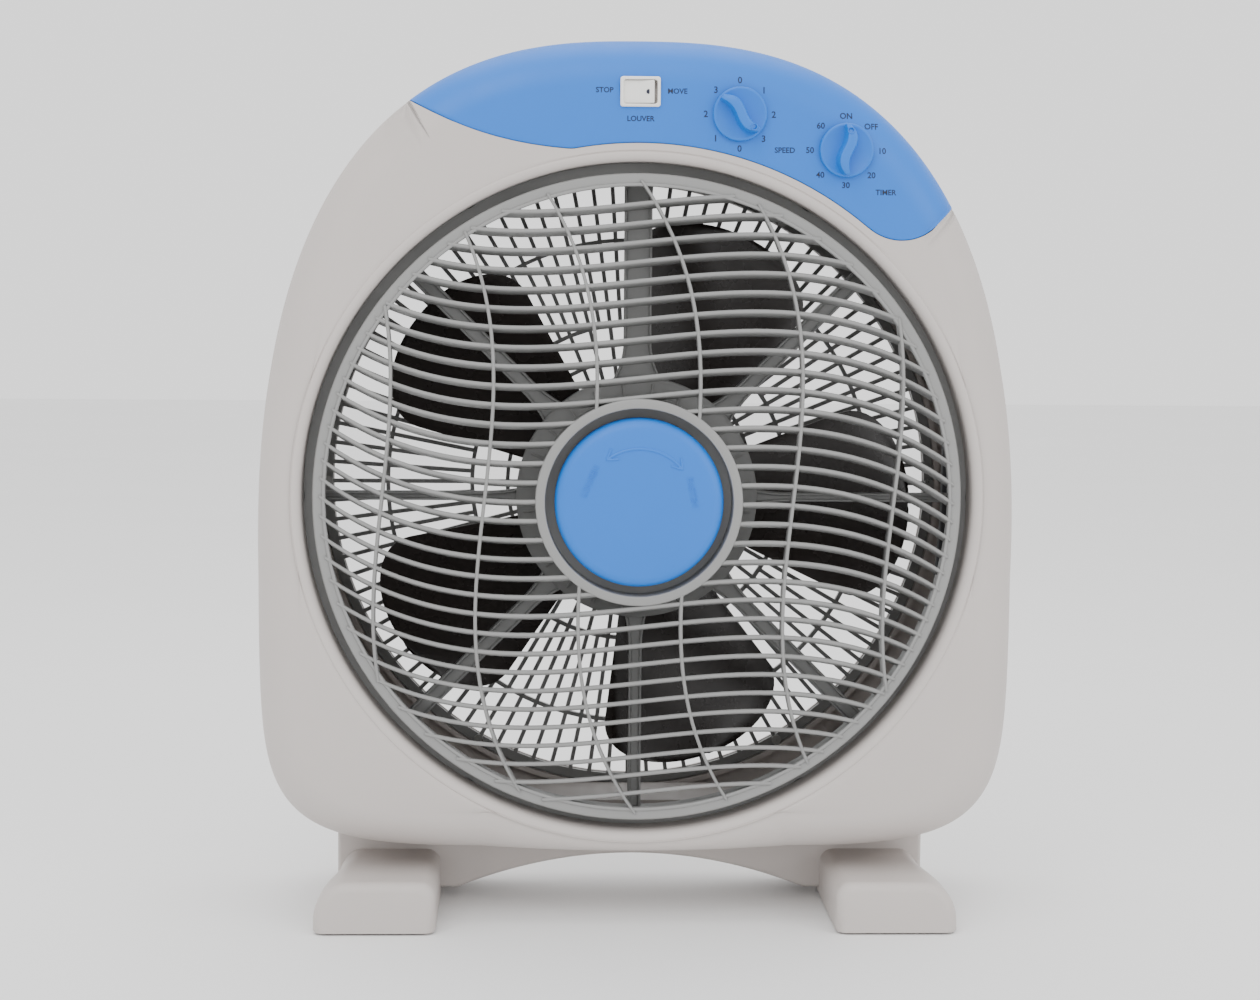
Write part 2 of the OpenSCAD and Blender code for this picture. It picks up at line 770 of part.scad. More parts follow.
module speed_switch() {
    color(dark) switch_case(speed_at, 27, 27, switch_front, -36);
}

module speed_spindle() {
    spindle(speed_at, -40);
}

module speed_knob() {
    knob(speed_at, 135);
}

module timer_body() {
    color(dark) switch_case(timer_at, 28, 26, timer_front, -30);
}

module timer_spindle() {
    spindle(timer_at, -34);
}

module timer_knob() {
    knob(timer_at, 0);
}

module rocker_body() {
    color("white") translate([rocker_at[0], 0, rocker_at[1]]) difference() {
        union() {
            translate([-11.4, -67.6, -8.5]) cube([22.8, 1.8, 17]);
            translate([-10, -66, -7]) cube([20, 22, 14]);
        }
        translate([-9.6, -68, -6.7]) cube([19.2, 16, 13.4]);
    }
}

// The button rests with its left half pressed in
module rocker_button() {
    reach_x = 8.3;
    rise = reach_x * tan(rocker_tilt);
    color("white") translate([rocker_at[0], -61, rocker_at[1] - 6.4]) rotate([0, 0, -rocker_tilt])
        linear_extrude(12.8) polygon([[-reach_x, -4.4 - rise], [0, -4.4], [reach_x, -4.4 - rise],
            [reach_x - 0.4, 0], [3, 3], [-3, 3], [-reach_x + 0.4, 0]]);
}

module cable_gland() {
    color(dark) translate([gland_at[0], 0, gland_at[1]]) rotate([-90, 0, 0]) rotate_extrude() polygon([
        [3.6, back_y - 10], [7, back_y - 10], [7, back_y], [9, back_y], [8, back_y + 3], [3.6, back_y + 3]]);
}

// A sheathed lead through the given points, swept with eight sides
module lead(path, r) {
    sides = 8;
    last = len(path) - 1;
    function along(i) = let (d = path[min(i + 1, last)] - path[max(i - 1, 0)]) d / norm(d);
    points = [for (i = [0 : last], k = [0 : sides - 1])
        let (
            d = along(i),
            u = cross(d, abs(d[1]) > 0.9 ? [1, 0, 0] : [0, 1, 0]),
            side = u / norm(u),
            up = cross(d, side),
            a = k * 360 / sides
        ) path[i] + r * (cos(a) * side + sin(a) * up)];
    skin = [for (i = [0 : last - 1], k = [0 : sides - 1], half = [0, 1])
        let (a = i * sides + k, b = i * sides + (k + 1) % sides, c = a + sides, d = b + sides)
        half == 0 ? [a, c, b] : [b, c, d]];
    ends = [[for (k = [0 : sides - 1]) k], [for (k = [sides - 1 : -1 : 0]) last * sides + k]];
    polyhedron(points, concat(skin, ends));
}

module wiring_loom() {
    color(dark) {
        lead([[140, 63, 84], [140, 54, 86], [150, 46, 100], [172, 40, 130], [188, 36, 175], [192, 34, 230],
              [192, 30, 290], [184, 24, 345], [160, 16, 388], [138, 4, 426], [128, -10, 441], [122, -22, 446],
              [118, -28, 447]], 2.6);
        lead([[104, -27, 450], [98, -24, 458], [84, -24, 464], [70, -28, 467], [60, -33, 468]], 2);
        lead([[50, -33, 472], [40, -30, 478], [22, -34, 482], [6, -37, 481], [0.4, -39, 480], [0, -43.5, 480]], 2);
        lead([[48, -32, 462], [20, -16, 458], [-20, -6, 456], [-60, 4, 452], [-90, 4, 450]], 2);
    }
}

front_housing();
rear_housing();
control_panel();
rear_grille();
front_bracket();
foot_left();
foot_right();
foot_pads();
housing_screws();
bracket_screws();
grille_screws();
motor_screws();
panel_screws();
foot_screws();
motor_plate();
motor_front_shield();
motor_rear_shield();
stator_core();
stator_windings();
front_bearing();
rear_bearing();
motor_rotor();
motor_shaft();
run_capacitor();
fan_blade();
blade_pin();
blade_nut();
louvre_motor();
louvre_motor_screws();
louvre_output_shaft();
louvre_drive_hub();
louvre_grille();
clamp_washer();
clamp_cap();
speed_switch();
speed_spindle();
speed_knob();
timer_body();
timer_spindle();
timer_knob();
rocker_body();
rocker_button();
cable_gland();
wiring_loom();
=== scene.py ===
"""Looks of a box fan with a turning louvre grille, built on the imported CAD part.

Every sub-assembly is a class with typed sizes in millimetres, in the CAD frame: +X right, +Z up, the
front faces -Y, and the fan turns about the line x = 0, z = RING_Z. Shapes are numpy grids in millimetres,
and become meshes in metres when they are built.
"""
import logging
import math
from dataclasses import dataclass, field
from enum import Enum
from typing import Callable, Optional, Sequence

import bmesh
import bpy
import numpy as np
from mathutils import Matrix, Vector


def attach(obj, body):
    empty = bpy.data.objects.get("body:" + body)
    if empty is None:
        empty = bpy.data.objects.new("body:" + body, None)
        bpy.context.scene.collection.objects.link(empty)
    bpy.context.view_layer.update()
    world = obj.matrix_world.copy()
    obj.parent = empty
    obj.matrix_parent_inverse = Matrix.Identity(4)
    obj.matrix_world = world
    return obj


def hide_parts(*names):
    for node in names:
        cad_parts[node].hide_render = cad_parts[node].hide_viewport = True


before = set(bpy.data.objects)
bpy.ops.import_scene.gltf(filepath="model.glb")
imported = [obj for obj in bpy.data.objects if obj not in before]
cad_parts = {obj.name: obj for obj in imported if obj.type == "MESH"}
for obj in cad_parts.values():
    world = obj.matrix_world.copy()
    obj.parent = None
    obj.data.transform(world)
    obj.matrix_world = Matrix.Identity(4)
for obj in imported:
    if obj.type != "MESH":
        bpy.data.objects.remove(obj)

LOG = logging.getLogger("box_fan")
MM = 0.001
RING_Z = 248.0  # height of the fan's axis
FRONT_Y = -66.0  # flat face of the body
SPLIT_Y = 4.0  # where the two housings meet
BACK_Y = 74.0  # rear face of the body
LIP_R = 193.0  # inside of the lip round the louvre
WALL = 2.8  # wall of the housings
CAPITAL = 0.72  # height of a capital as a share of the font's size
RGB = tuple[int, int, int]
Color = tuple[float, float, float]
Triple = tuple[float, float, float]
Pair = tuple[float, float]
SPEED_AT: Pair = (55.8, 468.0)
TIMER_AT: Pair = (116.6, 448.2)
ROCKER_AT: Pair = (-0.6, 480.0)


class Body(Enum):
    """Bodies of the CAD part that a piece can ride on."""

    HOUSING = "housing"
    FAN = "fan"
    LOUVRE = "louvre"
    CAP = "cap"
    SPEED = "speed_dial"
    TIMER = "timer_dial"
    ROCKER = "rocker"


class Slot(Enum):
    """Material slots of the record."""

    HOUSING = "housing_grey"
    PANEL = "panel_blue"
    GRILLE = "grille_grey"
    BLADE = "blade_brown"
    STEEL = "steel"
    SHIELD = "cast_shield"
    LAMINATION = "lamination"
    COPPER = "copper_wire"
    BRONZE = "bronze"
    DARK = "dark_plastic"
    RUBBER = "rubber_black"
    LEAD = "lead_sheath"
    WHITE = "switch_white"


# ---------------------------------------------------------------- finishes


class NodeBuilder:
    """Small wrapper round a material's node tree."""

    def __init__(self, name: str) -> None:
        """Makes an empty material.

        Args:
            name: name of the new material.
        """
        self.material = bpy.data.materials.new(name)
        self.material.use_nodes = True
        self.tree = self.material.node_tree
        self.tree.nodes.clear()
        self.shader = self.add("ShaderNodeBsdfPrincipled")
        out = self.add("ShaderNodeOutputMaterial")
        self.link(self.shader.outputs[0], out.inputs[0])
        self.coords = self.add("ShaderNodeTexCoord").outputs["Object"]

    def add(self, kind: str, **values: object) -> bpy.types.Node:
        """Adds a node and sets its plain properties.

        Args:
            kind: Blender's node type name.
            **values: properties of the node.

        Returns:
            The new node.
        """
        node = self.tree.nodes.new(kind)
        for key, value in values.items():
            setattr(node, key, value)
        return node

    def link(self, source: bpy.types.NodeSocket, target: bpy.types.NodeSocket) -> None:
        """Joins an output to an input.

        Args:
            source: output socket.
            target: input socket.
        """
        self.tree.links.new(source, target)

    def noise(self, scale: float, detail: float = 4.0,
              stretch: Optional[Triple] = None) -> bpy.types.NodeSocket:
        """Adds fractal noise in object space.

        Args:
            scale: features per metre.
            detail: octaves.
            stretch: scale factors along X, Y and Z.

        Returns:
            The noise value, 0 to 1.
        """
        node = self.add("ShaderNodeTexNoise")
        node.inputs["Scale"].default_value = scale
        node.inputs["Detail"].default_value = detail
        source = self.coords
        if stretch is not None:
            mapping = self.add("ShaderNodeMapping")
            mapping.inputs["Scale"].default_value = stretch
            self.link(self.coords, mapping.inputs["Vector"])
            source = mapping.outputs[0]
        self.link(source, node.inputs["Vector"])
        return node.outputs[0]

    def ramp(self, source: bpy.types.NodeSocket, low: float, high: float,
             first: float = 0.3, last: float = 0.7) -> bpy.types.NodeSocket:
        """Maps a value to a range.

        Args:
            source: value to map.
            low: result at first.
            high: result at last.
            first: start of the input range.
            last: end of the input range.

        Returns:
            The mapped value.
        """
        node = self.add("ShaderNodeMapRange")
        for index, value in enumerate((first, last, low, high), start=1):
            node.inputs[index].default_value = value
        self.link(source, node.inputs[0])
        return node.outputs[0]

    def mix(self, factor: bpy.types.NodeSocket, a: Color, b: Color) -> bpy.types.NodeSocket:
        """Mixes two colours.

        Args:
            factor: 0 to 1.
            a: colour at 0.
            b: colour at 1.

        Returns:
            The mixed colour.
        """
        node = self.add("ShaderNodeMix", data_type="RGBA")
        node.inputs[6].default_value = (*a, 1.0)
        node.inputs[7].default_value = (*b, 1.0)
        self.link(factor, node.inputs[0])
        return node.outputs[2]

    def bump(self, height: bpy.types.NodeSocket, depth: float, strength: float = 1.0,
             after: Optional[bpy.types.NodeSocket] = None) -> bpy.types.NodeSocket:
        """Adds a bump.

        Args:
            height: 0 to 1.
            depth: height of the bump in metres.
            strength: share of the effect.
            after: normal of an earlier bump.

        Returns:
            The bumped normal.
        """
        node = self.add("ShaderNodeBump")
        node.inputs["Distance"].default_value = depth
        node.inputs["Strength"].default_value = strength
        self.link(height, node.inputs["Height"])
        if after is not None:
            self.link(after, node.inputs["Normal"])
        return node.outputs[0]


def linear(rgb: RGB) -> Color:
    """Turns an 8-bit sRGB colour into a linear one.

    Args:
        rgb: red, green and blue, 0 to 255.

    Returns:
        Linear red, green and blue.
    """
    v = np.asarray(rgb) / 255.0
    return tuple(float(c) for c in np.where(v <= 0.04045, v / 12.92, ((v + 0.055) / 1.055) ** 2.4))


@dataclass(frozen=True)
class Plastic:
    """Moulded plastic with a fine grain, slow mottling and uneven gloss.

    Args:
        slot: slot of the record that the finish fills.
        rgb: 8-bit sRGB colour.
        rough: mean roughness.
        grain: height of the grain in millimetres.
        grain_scale: grains per metre.
        mottle: share by which the colour changes from place to place.
        metal: metallic share.
    """

    slot: Slot
    rgb: RGB
    rough: float = 0.45
    grain: float = 0.02
    grain_scale: float = 1500.0
    mottle: float = 0.05
    metal: float = 0.0

    def material(self) -> bpy.types.Material:
        """Makes the material.

        Returns:
            The new material.
        """
        b = NodeBuilder(self.slot.value)
        base = linear(self.rgb)
        wide = b.noise(9.0, 5.0)
        colour = b.mix(b.ramp(wide, 0.0, 1.0), tuple(c * (1 - self.mottle) for c in base),
                       tuple(min(1.0, c * (1 + self.mottle)) for c in base))
        b.link(colour, b.shader.inputs["Base Color"])
        gloss = b.ramp(b.noise(60.0, 6.0), self.rough * 0.88, self.rough * 1.12)
        b.link(gloss, b.shader.inputs["Roughness"])
        fine = b.bump(b.noise(self.grain_scale, 2.0), self.grain * MM, 0.5)
        b.link(b.bump(b.noise(35.0, 2.0), 0.12 * MM, 0.25, fine), b.shader.inputs["Normal"])
        b.shader.inputs["Metallic"].default_value = self.metal
        return b.material


@dataclass(frozen=True)
class Turned:
    """Metal with fine lines left by a tool, and faint stains.

    Args:
        slot: slot of the record that the finish fills.
        rgb: 8-bit sRGB colour.
        rough: mean roughness.
        stretch: scale factors of the lines along X, Y and Z.
        scale: lines per metre.
        depth: depth of the lines in millimetres.
    """

    slot: Slot
    rgb: RGB
    rough: float = 0.3
    stretch: Triple = (1.0, 12.0, 1.0)
    scale: float = 260.0
    depth: float = 0.03

    def material(self) -> bpy.types.Material:
        """Makes the material.

        Returns:
            The new material.
        """
        b = NodeBuilder(self.slot.value)
        base = linear(self.rgb)
        stain = b.ramp(b.noise(45.0, 6.0), 0.0, 1.0, 0.35, 0.75)
        b.link(b.mix(stain, base, tuple(c * 0.72 for c in base)), b.shader.inputs["Base Color"])
        lines = b.noise(self.scale, 3.0, self.stretch)
        b.link(b.ramp(lines, self.rough * 0.8, self.rough * 1.3), b.shader.inputs["Roughness"])
        b.link(b.bump(lines, self.depth * MM, 0.6), b.shader.inputs["Normal"])
        b.shader.inputs["Metallic"].default_value = 1.0
        return b.material


@dataclass(frozen=True)
class Wound:
    """Bands across the depth: turns of enamelled wire or stacked sheets.

    Args:
        slot: slot of the record that the finish fills.
        rgb: 8-bit sRGB colour of the crests.
        between: 8-bit sRGB colour of the gaps.
        pitch: distance between bands in millimetres.
        metal: metallic share.
    """

    slot: Slot
    rgb: RGB
    between: RGB
    pitch: float = 0.9
    metal: float = 0.6

    def material(self) -> bpy.types.Material:
        """Makes the material.

        Returns:
            The new material.
        """
        b = NodeBuilder(self.slot.value)
        wave = b.add("ShaderNodeTexWave", wave_type="BANDS", bands_direction="Y")
        wave.inputs["Scale"].default_value = math.tau / (20.0 * self.pitch * MM)
        wave.inputs["Distortion"].default_value = 0.6
        b.link(b.coords, wave.inputs["Vector"])
        colour = b.mix(wave.outputs[1], linear(self.between), linear(self.rgb))
        b.link(colour, b.shader.inputs["Base Color"])
        b.link(b.ramp(b.noise(120.0), 0.28, 0.42), b.shader.inputs["Roughness"])
        b.link(b.bump(wave.outputs[1], 0.2 * MM, 0.8), b.shader.inputs["Normal"])
        b.shader.inputs["Metallic"].default_value = self.metal
        return b.material


FINISHES: tuple = (
    Plastic(Slot.HOUSING, (188, 181, 177), 0.50, 0.025, 1400.0, 0.022),
    Plastic(Slot.PANEL, (0, 108, 204), 0.42, 0.015, 1600.0, 0.03),
    Plastic(Slot.GRILLE, (134, 134, 133), 0.46, 0.02, 1500.0, 0.03),
    Plastic(Slot.BLADE, (44, 39, 37), 0.27, 0.008, 1200.0, 0.06),
    Turned(Slot.STEEL, (176, 176, 174)),
    Plastic(Slot.SHIELD, (128, 129, 130), 0.48, 0.12, 500.0, 0.08, 0.9),
    Wound(Slot.LAMINATION, (96, 98, 102), (52, 54, 58), 0.65, 0.9),
    Wound(Slot.COPPER, (176, 92, 48), (70, 30, 16), 0.8, 0.85),
    Turned(Slot.BRONZE, (150, 112, 62), 0.38),
    Plastic(Slot.DARK, (40, 41, 43), 0.5, 0.03, 1200.0, 0.06),
    Plastic(Slot.RUBBER, (27, 27, 28), 0.78, 0.07, 900.0, 0.12),
    Plastic(Slot.LEAD, (60, 60, 64), 0.4, 0.02, 900.0, 0.08),
    Plastic(Slot.WHITE, (232, 231, 227), 0.36, 0.012, 1500.0, 0.015),
)
MATERIALS: dict[Slot, bpy.types.Material] = {}


def ink_material(name: str, rgb: RGB) -> bpy.types.Material:
    """Makes printing ink with slightly uneven cover.

    Args:
        name: name of the material.
        rgb: 8-bit sRGB colour.

    Returns:
        The new material.
    """
    b = NodeBuilder(name)
    base = linear(rgb)
    b.link(b.mix(b.ramp(b.noise(900.0, 3.0), 0.0, 1.0), base, tuple(c * 1.25 for c in base)),
           b.shader.inputs["Base Color"])
    b.link(b.ramp(b.noise(300.0), 0.4, 0.55), b.shader.inputs["Roughness"])
    return b.material


# ---------------------------------------------------------------- meshes


def grid_quads(rows: int, cols: int, wrap_rows: bool = False, wrap_cols: bool = False) -> np.ndarray:
    """Lists the quads of a grid of points stored row by row.

    Args:
        rows: number of rows.
        cols: points in a row.
        wrap_rows: the last row joins the first.
        wrap_cols: the last column joins the first.

    Returns:
        Array (n, 4) of point numbers.
    """
    i = np.arange(rows if wrap_rows else rows - 1)[:, None]
    j = np.arange(cols if wrap_cols else cols - 1)[None, :]
    i2, j2 = (i + 1) % rows, (j + 1) % cols
    corners = np.broadcast_arrays(i * cols + j, i * cols + j2, i2 * cols + j2, i2 * cols + j)
    return np.stack(corners, axis=-1).reshape(-1, 4)


@dataclass
class Shape:
    """Points in millimetres and faces, gathered from several grids."""

    points: list[np.ndarray] = field(default_factory=list)
    faces: list[list[int]] = field(default_factory=list)
    count: int = 0

    def grid(self, points: np.ndarray, wrap_rows: bool = False, wrap_cols: bool = False,
             cap: bool = False) -> "Shape":
        """Adds a grid of points.

        Args:
            points: array (rows, cols, 3).
            wrap_rows: the last row joins the first.
            wrap_cols: the last column joins the first.
            cap: the first and last rows are closed by one face each.

        Returns:
            The shape itself.
        """
        rows, cols = points.shape[:2]
        self.faces += (grid_quads(rows, cols, wrap_rows, wrap_cols) + self.count).tolist()
        if cap:
            self.faces.append((np.arange(cols) + self.count).tolist())
            self.faces.append((np.arange(cols)[::-1] + self.count + (rows - 1) * cols).tolist())
        self.points.append(points.reshape(-1, 3))
        self.count += rows * cols
        return self

    def add(self, other: "Shape") -> "Shape":
        """Adds another shape's faces.

        Args:
            other: the shape to add.

        Returns:
            The shape itself.
        """
        self.faces += [[n + self.count for n in face] for face in other.faces]
        self.points += other.points
        self.count += other.count
        return self

    def build(self, name: str, material: Optional[bpy.types.Material] = None,
              sharp: float = 38.0) -> bpy.types.Object:
        """Makes the Blender object, welded, with normals outward.

        Args:
            name: object name.
            material: its material, none on a cutting tool.
            sharp: angle in degrees over which an edge stays sharp.

        Returns:
            The object, linked to the scene.
        """
        mesh = bpy.data.meshes.new(name)
        mesh.from_pydata((np.concatenate(self.points) * MM).tolist(), [], self.faces)
        bm = bmesh.new()
        bm.from_mesh(mesh)
        bmesh.ops.remove_doubles(bm, verts=bm.verts, dist=2e-6)
        bmesh.ops.dissolve_degenerate(bm, edges=bm.edges, dist=1e-6)
        bmesh.ops.recalc_face_normals(bm, faces=bm.faces)
        bm.to_mesh(mesh)
        bm.free()
        mesh.shade_smooth()
        mesh.set_sharp_from_angle(angle=math.radians(sharp))
        if material is not None:
            mesh.materials.append(material)
        piece = bpy.data.objects.new(name, mesh)
        bpy.context.scene.collection.objects.link(piece)
        return piece


def revolve(profile: Sequence[Sequence[float]], sides: int = 180, centre: Sequence[float] = (0.0, RING_Z),
            closed: bool = True) -> Shape:
    """Turns a profile about a line along Y: x = cx + r cos a, z = cz + r sin a.

    Args:
        profile: points (radius, y).
        sides: steps round the turn.
        centre: x and z of the line.
        closed: the profile's last point joins the first.

    Returns:
        The turned shape.
    """
    p = np.asarray(profile, dtype=float)
    a = np.linspace(0, 2 * np.pi, sides, endpoint=False)[:, None]
    points = np.stack([centre[0] + p[:, 0] * np.cos(a), np.broadcast_to(p[:, 1], (sides, len(p))),
                       centre[1] + p[:, 0] * np.sin(a)], axis=-1)
    return Shape().grid(points, wrap_rows=True, wrap_cols=closed)


def arc_points(cx: float, cy: float, r: float, start: float, end: float,
               steps: int = 6) -> list[list[float]]:
    """Samples an arc: (cx + r cos a, cy + r sin a).

    Args:
        cx: first coordinate of the centre.
        cy: second coordinate of the centre.
        r: radius.
        start: first angle in degrees.
        end: last angle in degrees.
        steps: number of points.

    Returns:
        List of points.
    """
    a = np.radians(np.linspace(start, end, steps))
    return np.stack([cx + r * np.cos(a), cy + r * np.sin(a)], axis=-1).tolist()


def prism(outline: np.ndarray, y0: float, y1: float, round_: float = 0.0, steps: int = 4) -> Shape:
    """Makes a slab from an outline in x and z with rounded front and back edges.

    The edge at both ends is a quarter circle: the outline moves inwards by r(1 - sin a) while y moves
    by r(1 - cos a).

    Args:
        outline: array (n, 2) of x and z, counter-clockwise.
        y0: front.
        y1: back.
        round_: radius of the edges.
        steps: points of each quarter circle.

    Returns:
        The closed shape.
    """
    tangent = np.roll(outline, -1, 0) - np.roll(outline, 1, 0)
    tangent /= np.linalg.norm(tangent, axis=1, keepdims=True) + 1e-9
    inward = np.stack([-tangent[:, 1], tangent[:, 0]], axis=-1)
    a = np.radians(np.linspace(0, 90, steps)) if round_ else np.array([np.pi / 2])
    inset = round_ * (1 - np.sin(a))
    depth = round_ * (1 - np.cos(a))
    insets = np.concatenate([inset, inset[::-1]])
    ys = np.concatenate([y0 + depth, (y1 - depth)[::-1]])
    flat = outline[None] + inward[None] * insets[:, None, None]
    points = np.stack([flat[..., 0], np.broadcast_to(ys[:, None], flat.shape[:2]), flat[..., 1]], axis=-1)
    return Shape().grid(points, wrap_cols=True, cap=True)


def rounded_box(x0: float, x1: float, z0: float, z1: float, r: float, steps: int = 6) -> np.ndarray:
    """Outline of a rectangle with round corners, counter-clockwise.

    Args:
        x0: left.
        x1: right.
        z0: bottom.
        z1: top.
        r: corner radius.
        steps: points of each corner.

    Returns:
        Array (n, 2).
    """
    corners = [(x1 - r, z1 - r, 0), (x0 + r, z1 - r, 90), (x0 + r, z0 + r, 180), (x1 - r, z0 + r, 270)]
    return np.array([p for cx, cz, a in corners for p in arc_points(cx, cz, r, a, a + 90, steps)])


def circle_row(r: float, y: float, angle: np.ndarray) -> np.ndarray:
    """Gives a row of points on a circle about the fan's axis."""
    return np.stack([r * np.cos(angle), np.full_like(angle, y), RING_Z + r * np.sin(angle)], axis=-1)


def cut(target: bpy.types.Object, tool: bpy.types.Object) -> None:
    """Subtracts a closed object from another and applies the result.

    Args:
        target: object that is cut.
        tool: object that is taken away and deleted.
    """
    modifier = target.modifiers.new("cut", "BOOLEAN")
    modifier.object = tool
    modifier.operation = "DIFFERENCE"
    modifier.solver = "EXACT"
    graph = bpy.context.evaluated_depsgraph_get()
    mesh = bpy.data.meshes.new_from_object(target.evaluated_get(graph))
    target.modifiers.clear()
    target.data = mesh
    bpy.data.objects.remove(tool)


def close_ends(piece: bpy.types.Object) -> None:
    """Fills the narrow ends of a skin that are still open.

    Args:
        piece: object whose mesh is closed.
    """
    bm = bmesh.new()
    bm.from_mesh(piece.data)
    bmesh.ops.holes_fill(bm, edges=[e for e in bm.edges if e.is_boundary], sides=0)
    bm.to_mesh(piece.data)
    bm.free()


def place(piece: bpy.types.Object, body: Body, slot: Slot, *nodes: str) -> bpy.types.Object:
    """Hangs a finished piece on the body that it rides on, hides the CAD nodes that it stands for, and reports it.

    Args:
        piece: finished object.
        body: body that it moves with.
        slot: its material slot; not used.
        *nodes: CAD nodes that it replaces.

    Returns:
        The piece.
    """
    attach(piece, body.value)
    if nodes:
        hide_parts(*nodes)
    LOG.info("%s: %d faces on %s", piece.name, len(piece.data.polygons), body.value)
    return piece


# ---------------------------------------------------------------- the housing's form


@dataclass(frozen=True)
class Outline:
    """Outer outline of the body: a superellipse, |x/a|^p + |z/b|^p = 1, with its own power below the waist.

    Below the waist the half width a shrinks by the taper times the square of the drop.
    """

    half: float = 222.0
    top: float = 513.0
    bottom: float = 40.0
    waist: float = 200.0
    top_power: float = 2.6
    low_power: float = 6.0
    taper: float = 0.025

    def reach(self, angle: np.ndarray) -> np.ndarray:
        """Finds the distance from the ring's centre to the outline by bisection.

        Args:
            angle: angles in radians, counter-clockwise from +X.

        Returns:
            Distances in millimetres.
        """
        low, high = np.full(angle.shape, 150.0), np.full(angle.shape, 420.0)
        for _ in range(26):
            mid = (low + high) / 2
            x, z = mid * np.cos(angle), RING_Z + mid * np.sin(angle)
            above = z >= self.waist
            rise = (z - self.waist) / np.where(above, self.top - self.waist, self.waist - self.bottom)
            half = self.half * np.where(above, 1.0, 1 - self.taper * rise * rise)
            power = np.where(above, self.top_power, self.low_power)
            inside = (np.abs(x) / half) ** power + np.abs(rise) ** power < 1
            low, high = np.where(inside, mid, low), np.where(inside, high, mid)
        return (low + high) / 2


@dataclass(frozen=True)
class FrontForm:
    """Front surface as a function of w, 0 at the lip to 1 at the split, and the angle round the ring.

    From w = 0 to 0.5 the face runs straight outwards and sinks by 1.2 t^2. From 0.5 to 0.75 it follows a
    quarter ellipse: r = side - e(1 - sin a), y = face + 1.2 + 0.85 e (1 - cos a). From 0.75 to 1 it runs
    straight back to the split.
    """

    outline: Outline = Outline()
    face_r: float = LIP_R + 6.0
    edge: float = 26.0
    sink: float = 1.2
    squash: float = 0.85
    draft: float = 3.0

    def _edge(self, out: np.ndarray, skin: np.ndarray) -> tuple[np.ndarray, np.ndarray]:
        """Gives the size of the rounded edge and the radius of the side.

        Args:
            out: distance to the outline.
            skin: depth under the surface.

        Returns:
            Edge size and side radius.
        """
        return np.minimum(self.edge, out - LIP_R - 8), out - self.draft - skin

    def point(self, w: np.ndarray, angle: np.ndarray, skin: np.ndarray) -> np.ndarray:
        """Finds points of the surface.

        Args:
            w: place across the section.
            angle: angle in radians.
            skin: depth under the surface in millimetres.

        Returns:
            Array (..., 3) in millimetres.
        """
        w, angle, skin = np.broadcast_arrays(w, angle, skin)
        out = self.outline.reach(angle)
        edge, side = self._edge(out, skin)
        face = FRONT_Y + skin
        t = np.clip(w / 0.5, 0, 1)
        a = np.clip((w - 0.5) / 0.25, 0, 1) * np.pi / 2
        s = np.clip((w - 0.75) / 0.25, 0, 1)
        r = self.face_r + (side - edge - self.face_r) * t + edge * np.sin(a) + self.draft * s
        y0 = face + self.sink * t * t + self.squash * edge * (1 - np.cos(a))
        y = y0 + (SPLIT_Y - y0) * s
        return np.stack([r * np.cos(angle), y, RING_Z + r * np.sin(angle)], axis=-1)

    def locate(self, x: np.ndarray, z: np.ndarray) -> tuple[np.ndarray, np.ndarray]:
        """Turns front-view coordinates into w and angle.

        Args:
            x: millimetres to the right.
            z: millimetres up.

        Returns:
            w and the angle in radians.
        """
        angle = np.arctan2(z - RING_Z, x)
        r = np.hypot(x, z - RING_Z)
        out = self.outline.reach(angle)
        edge, side = self._edge(out, np.zeros_like(out))
        flat = 0.5 * (r - self.face_r) / (side - edge - self.face_r)
        a = np.arcsin(np.clip((r - side + edge) / edge, 0, 1))
        round_ = 0.5 + 0.25 * a / (np.pi / 2)
        straight = 0.75 + 0.25 * (r - side) / self.draft
        w = np.where(r < side - edge, flat, np.where(r < side, round_, straight))
        return np.clip(w, 0, 1), angle

    def height(self, x: np.ndarray, z: np.ndarray) -> np.ndarray:
        """Finds y of the surface in front view.

        Args:
            x: millimetres to the right.
            z: millimetres up.

        Returns:
            y in millimetres.
        """
        w, angle = self.locate(x, z)
        return self.point(w, angle, np.zeros_like(w))[..., 1]


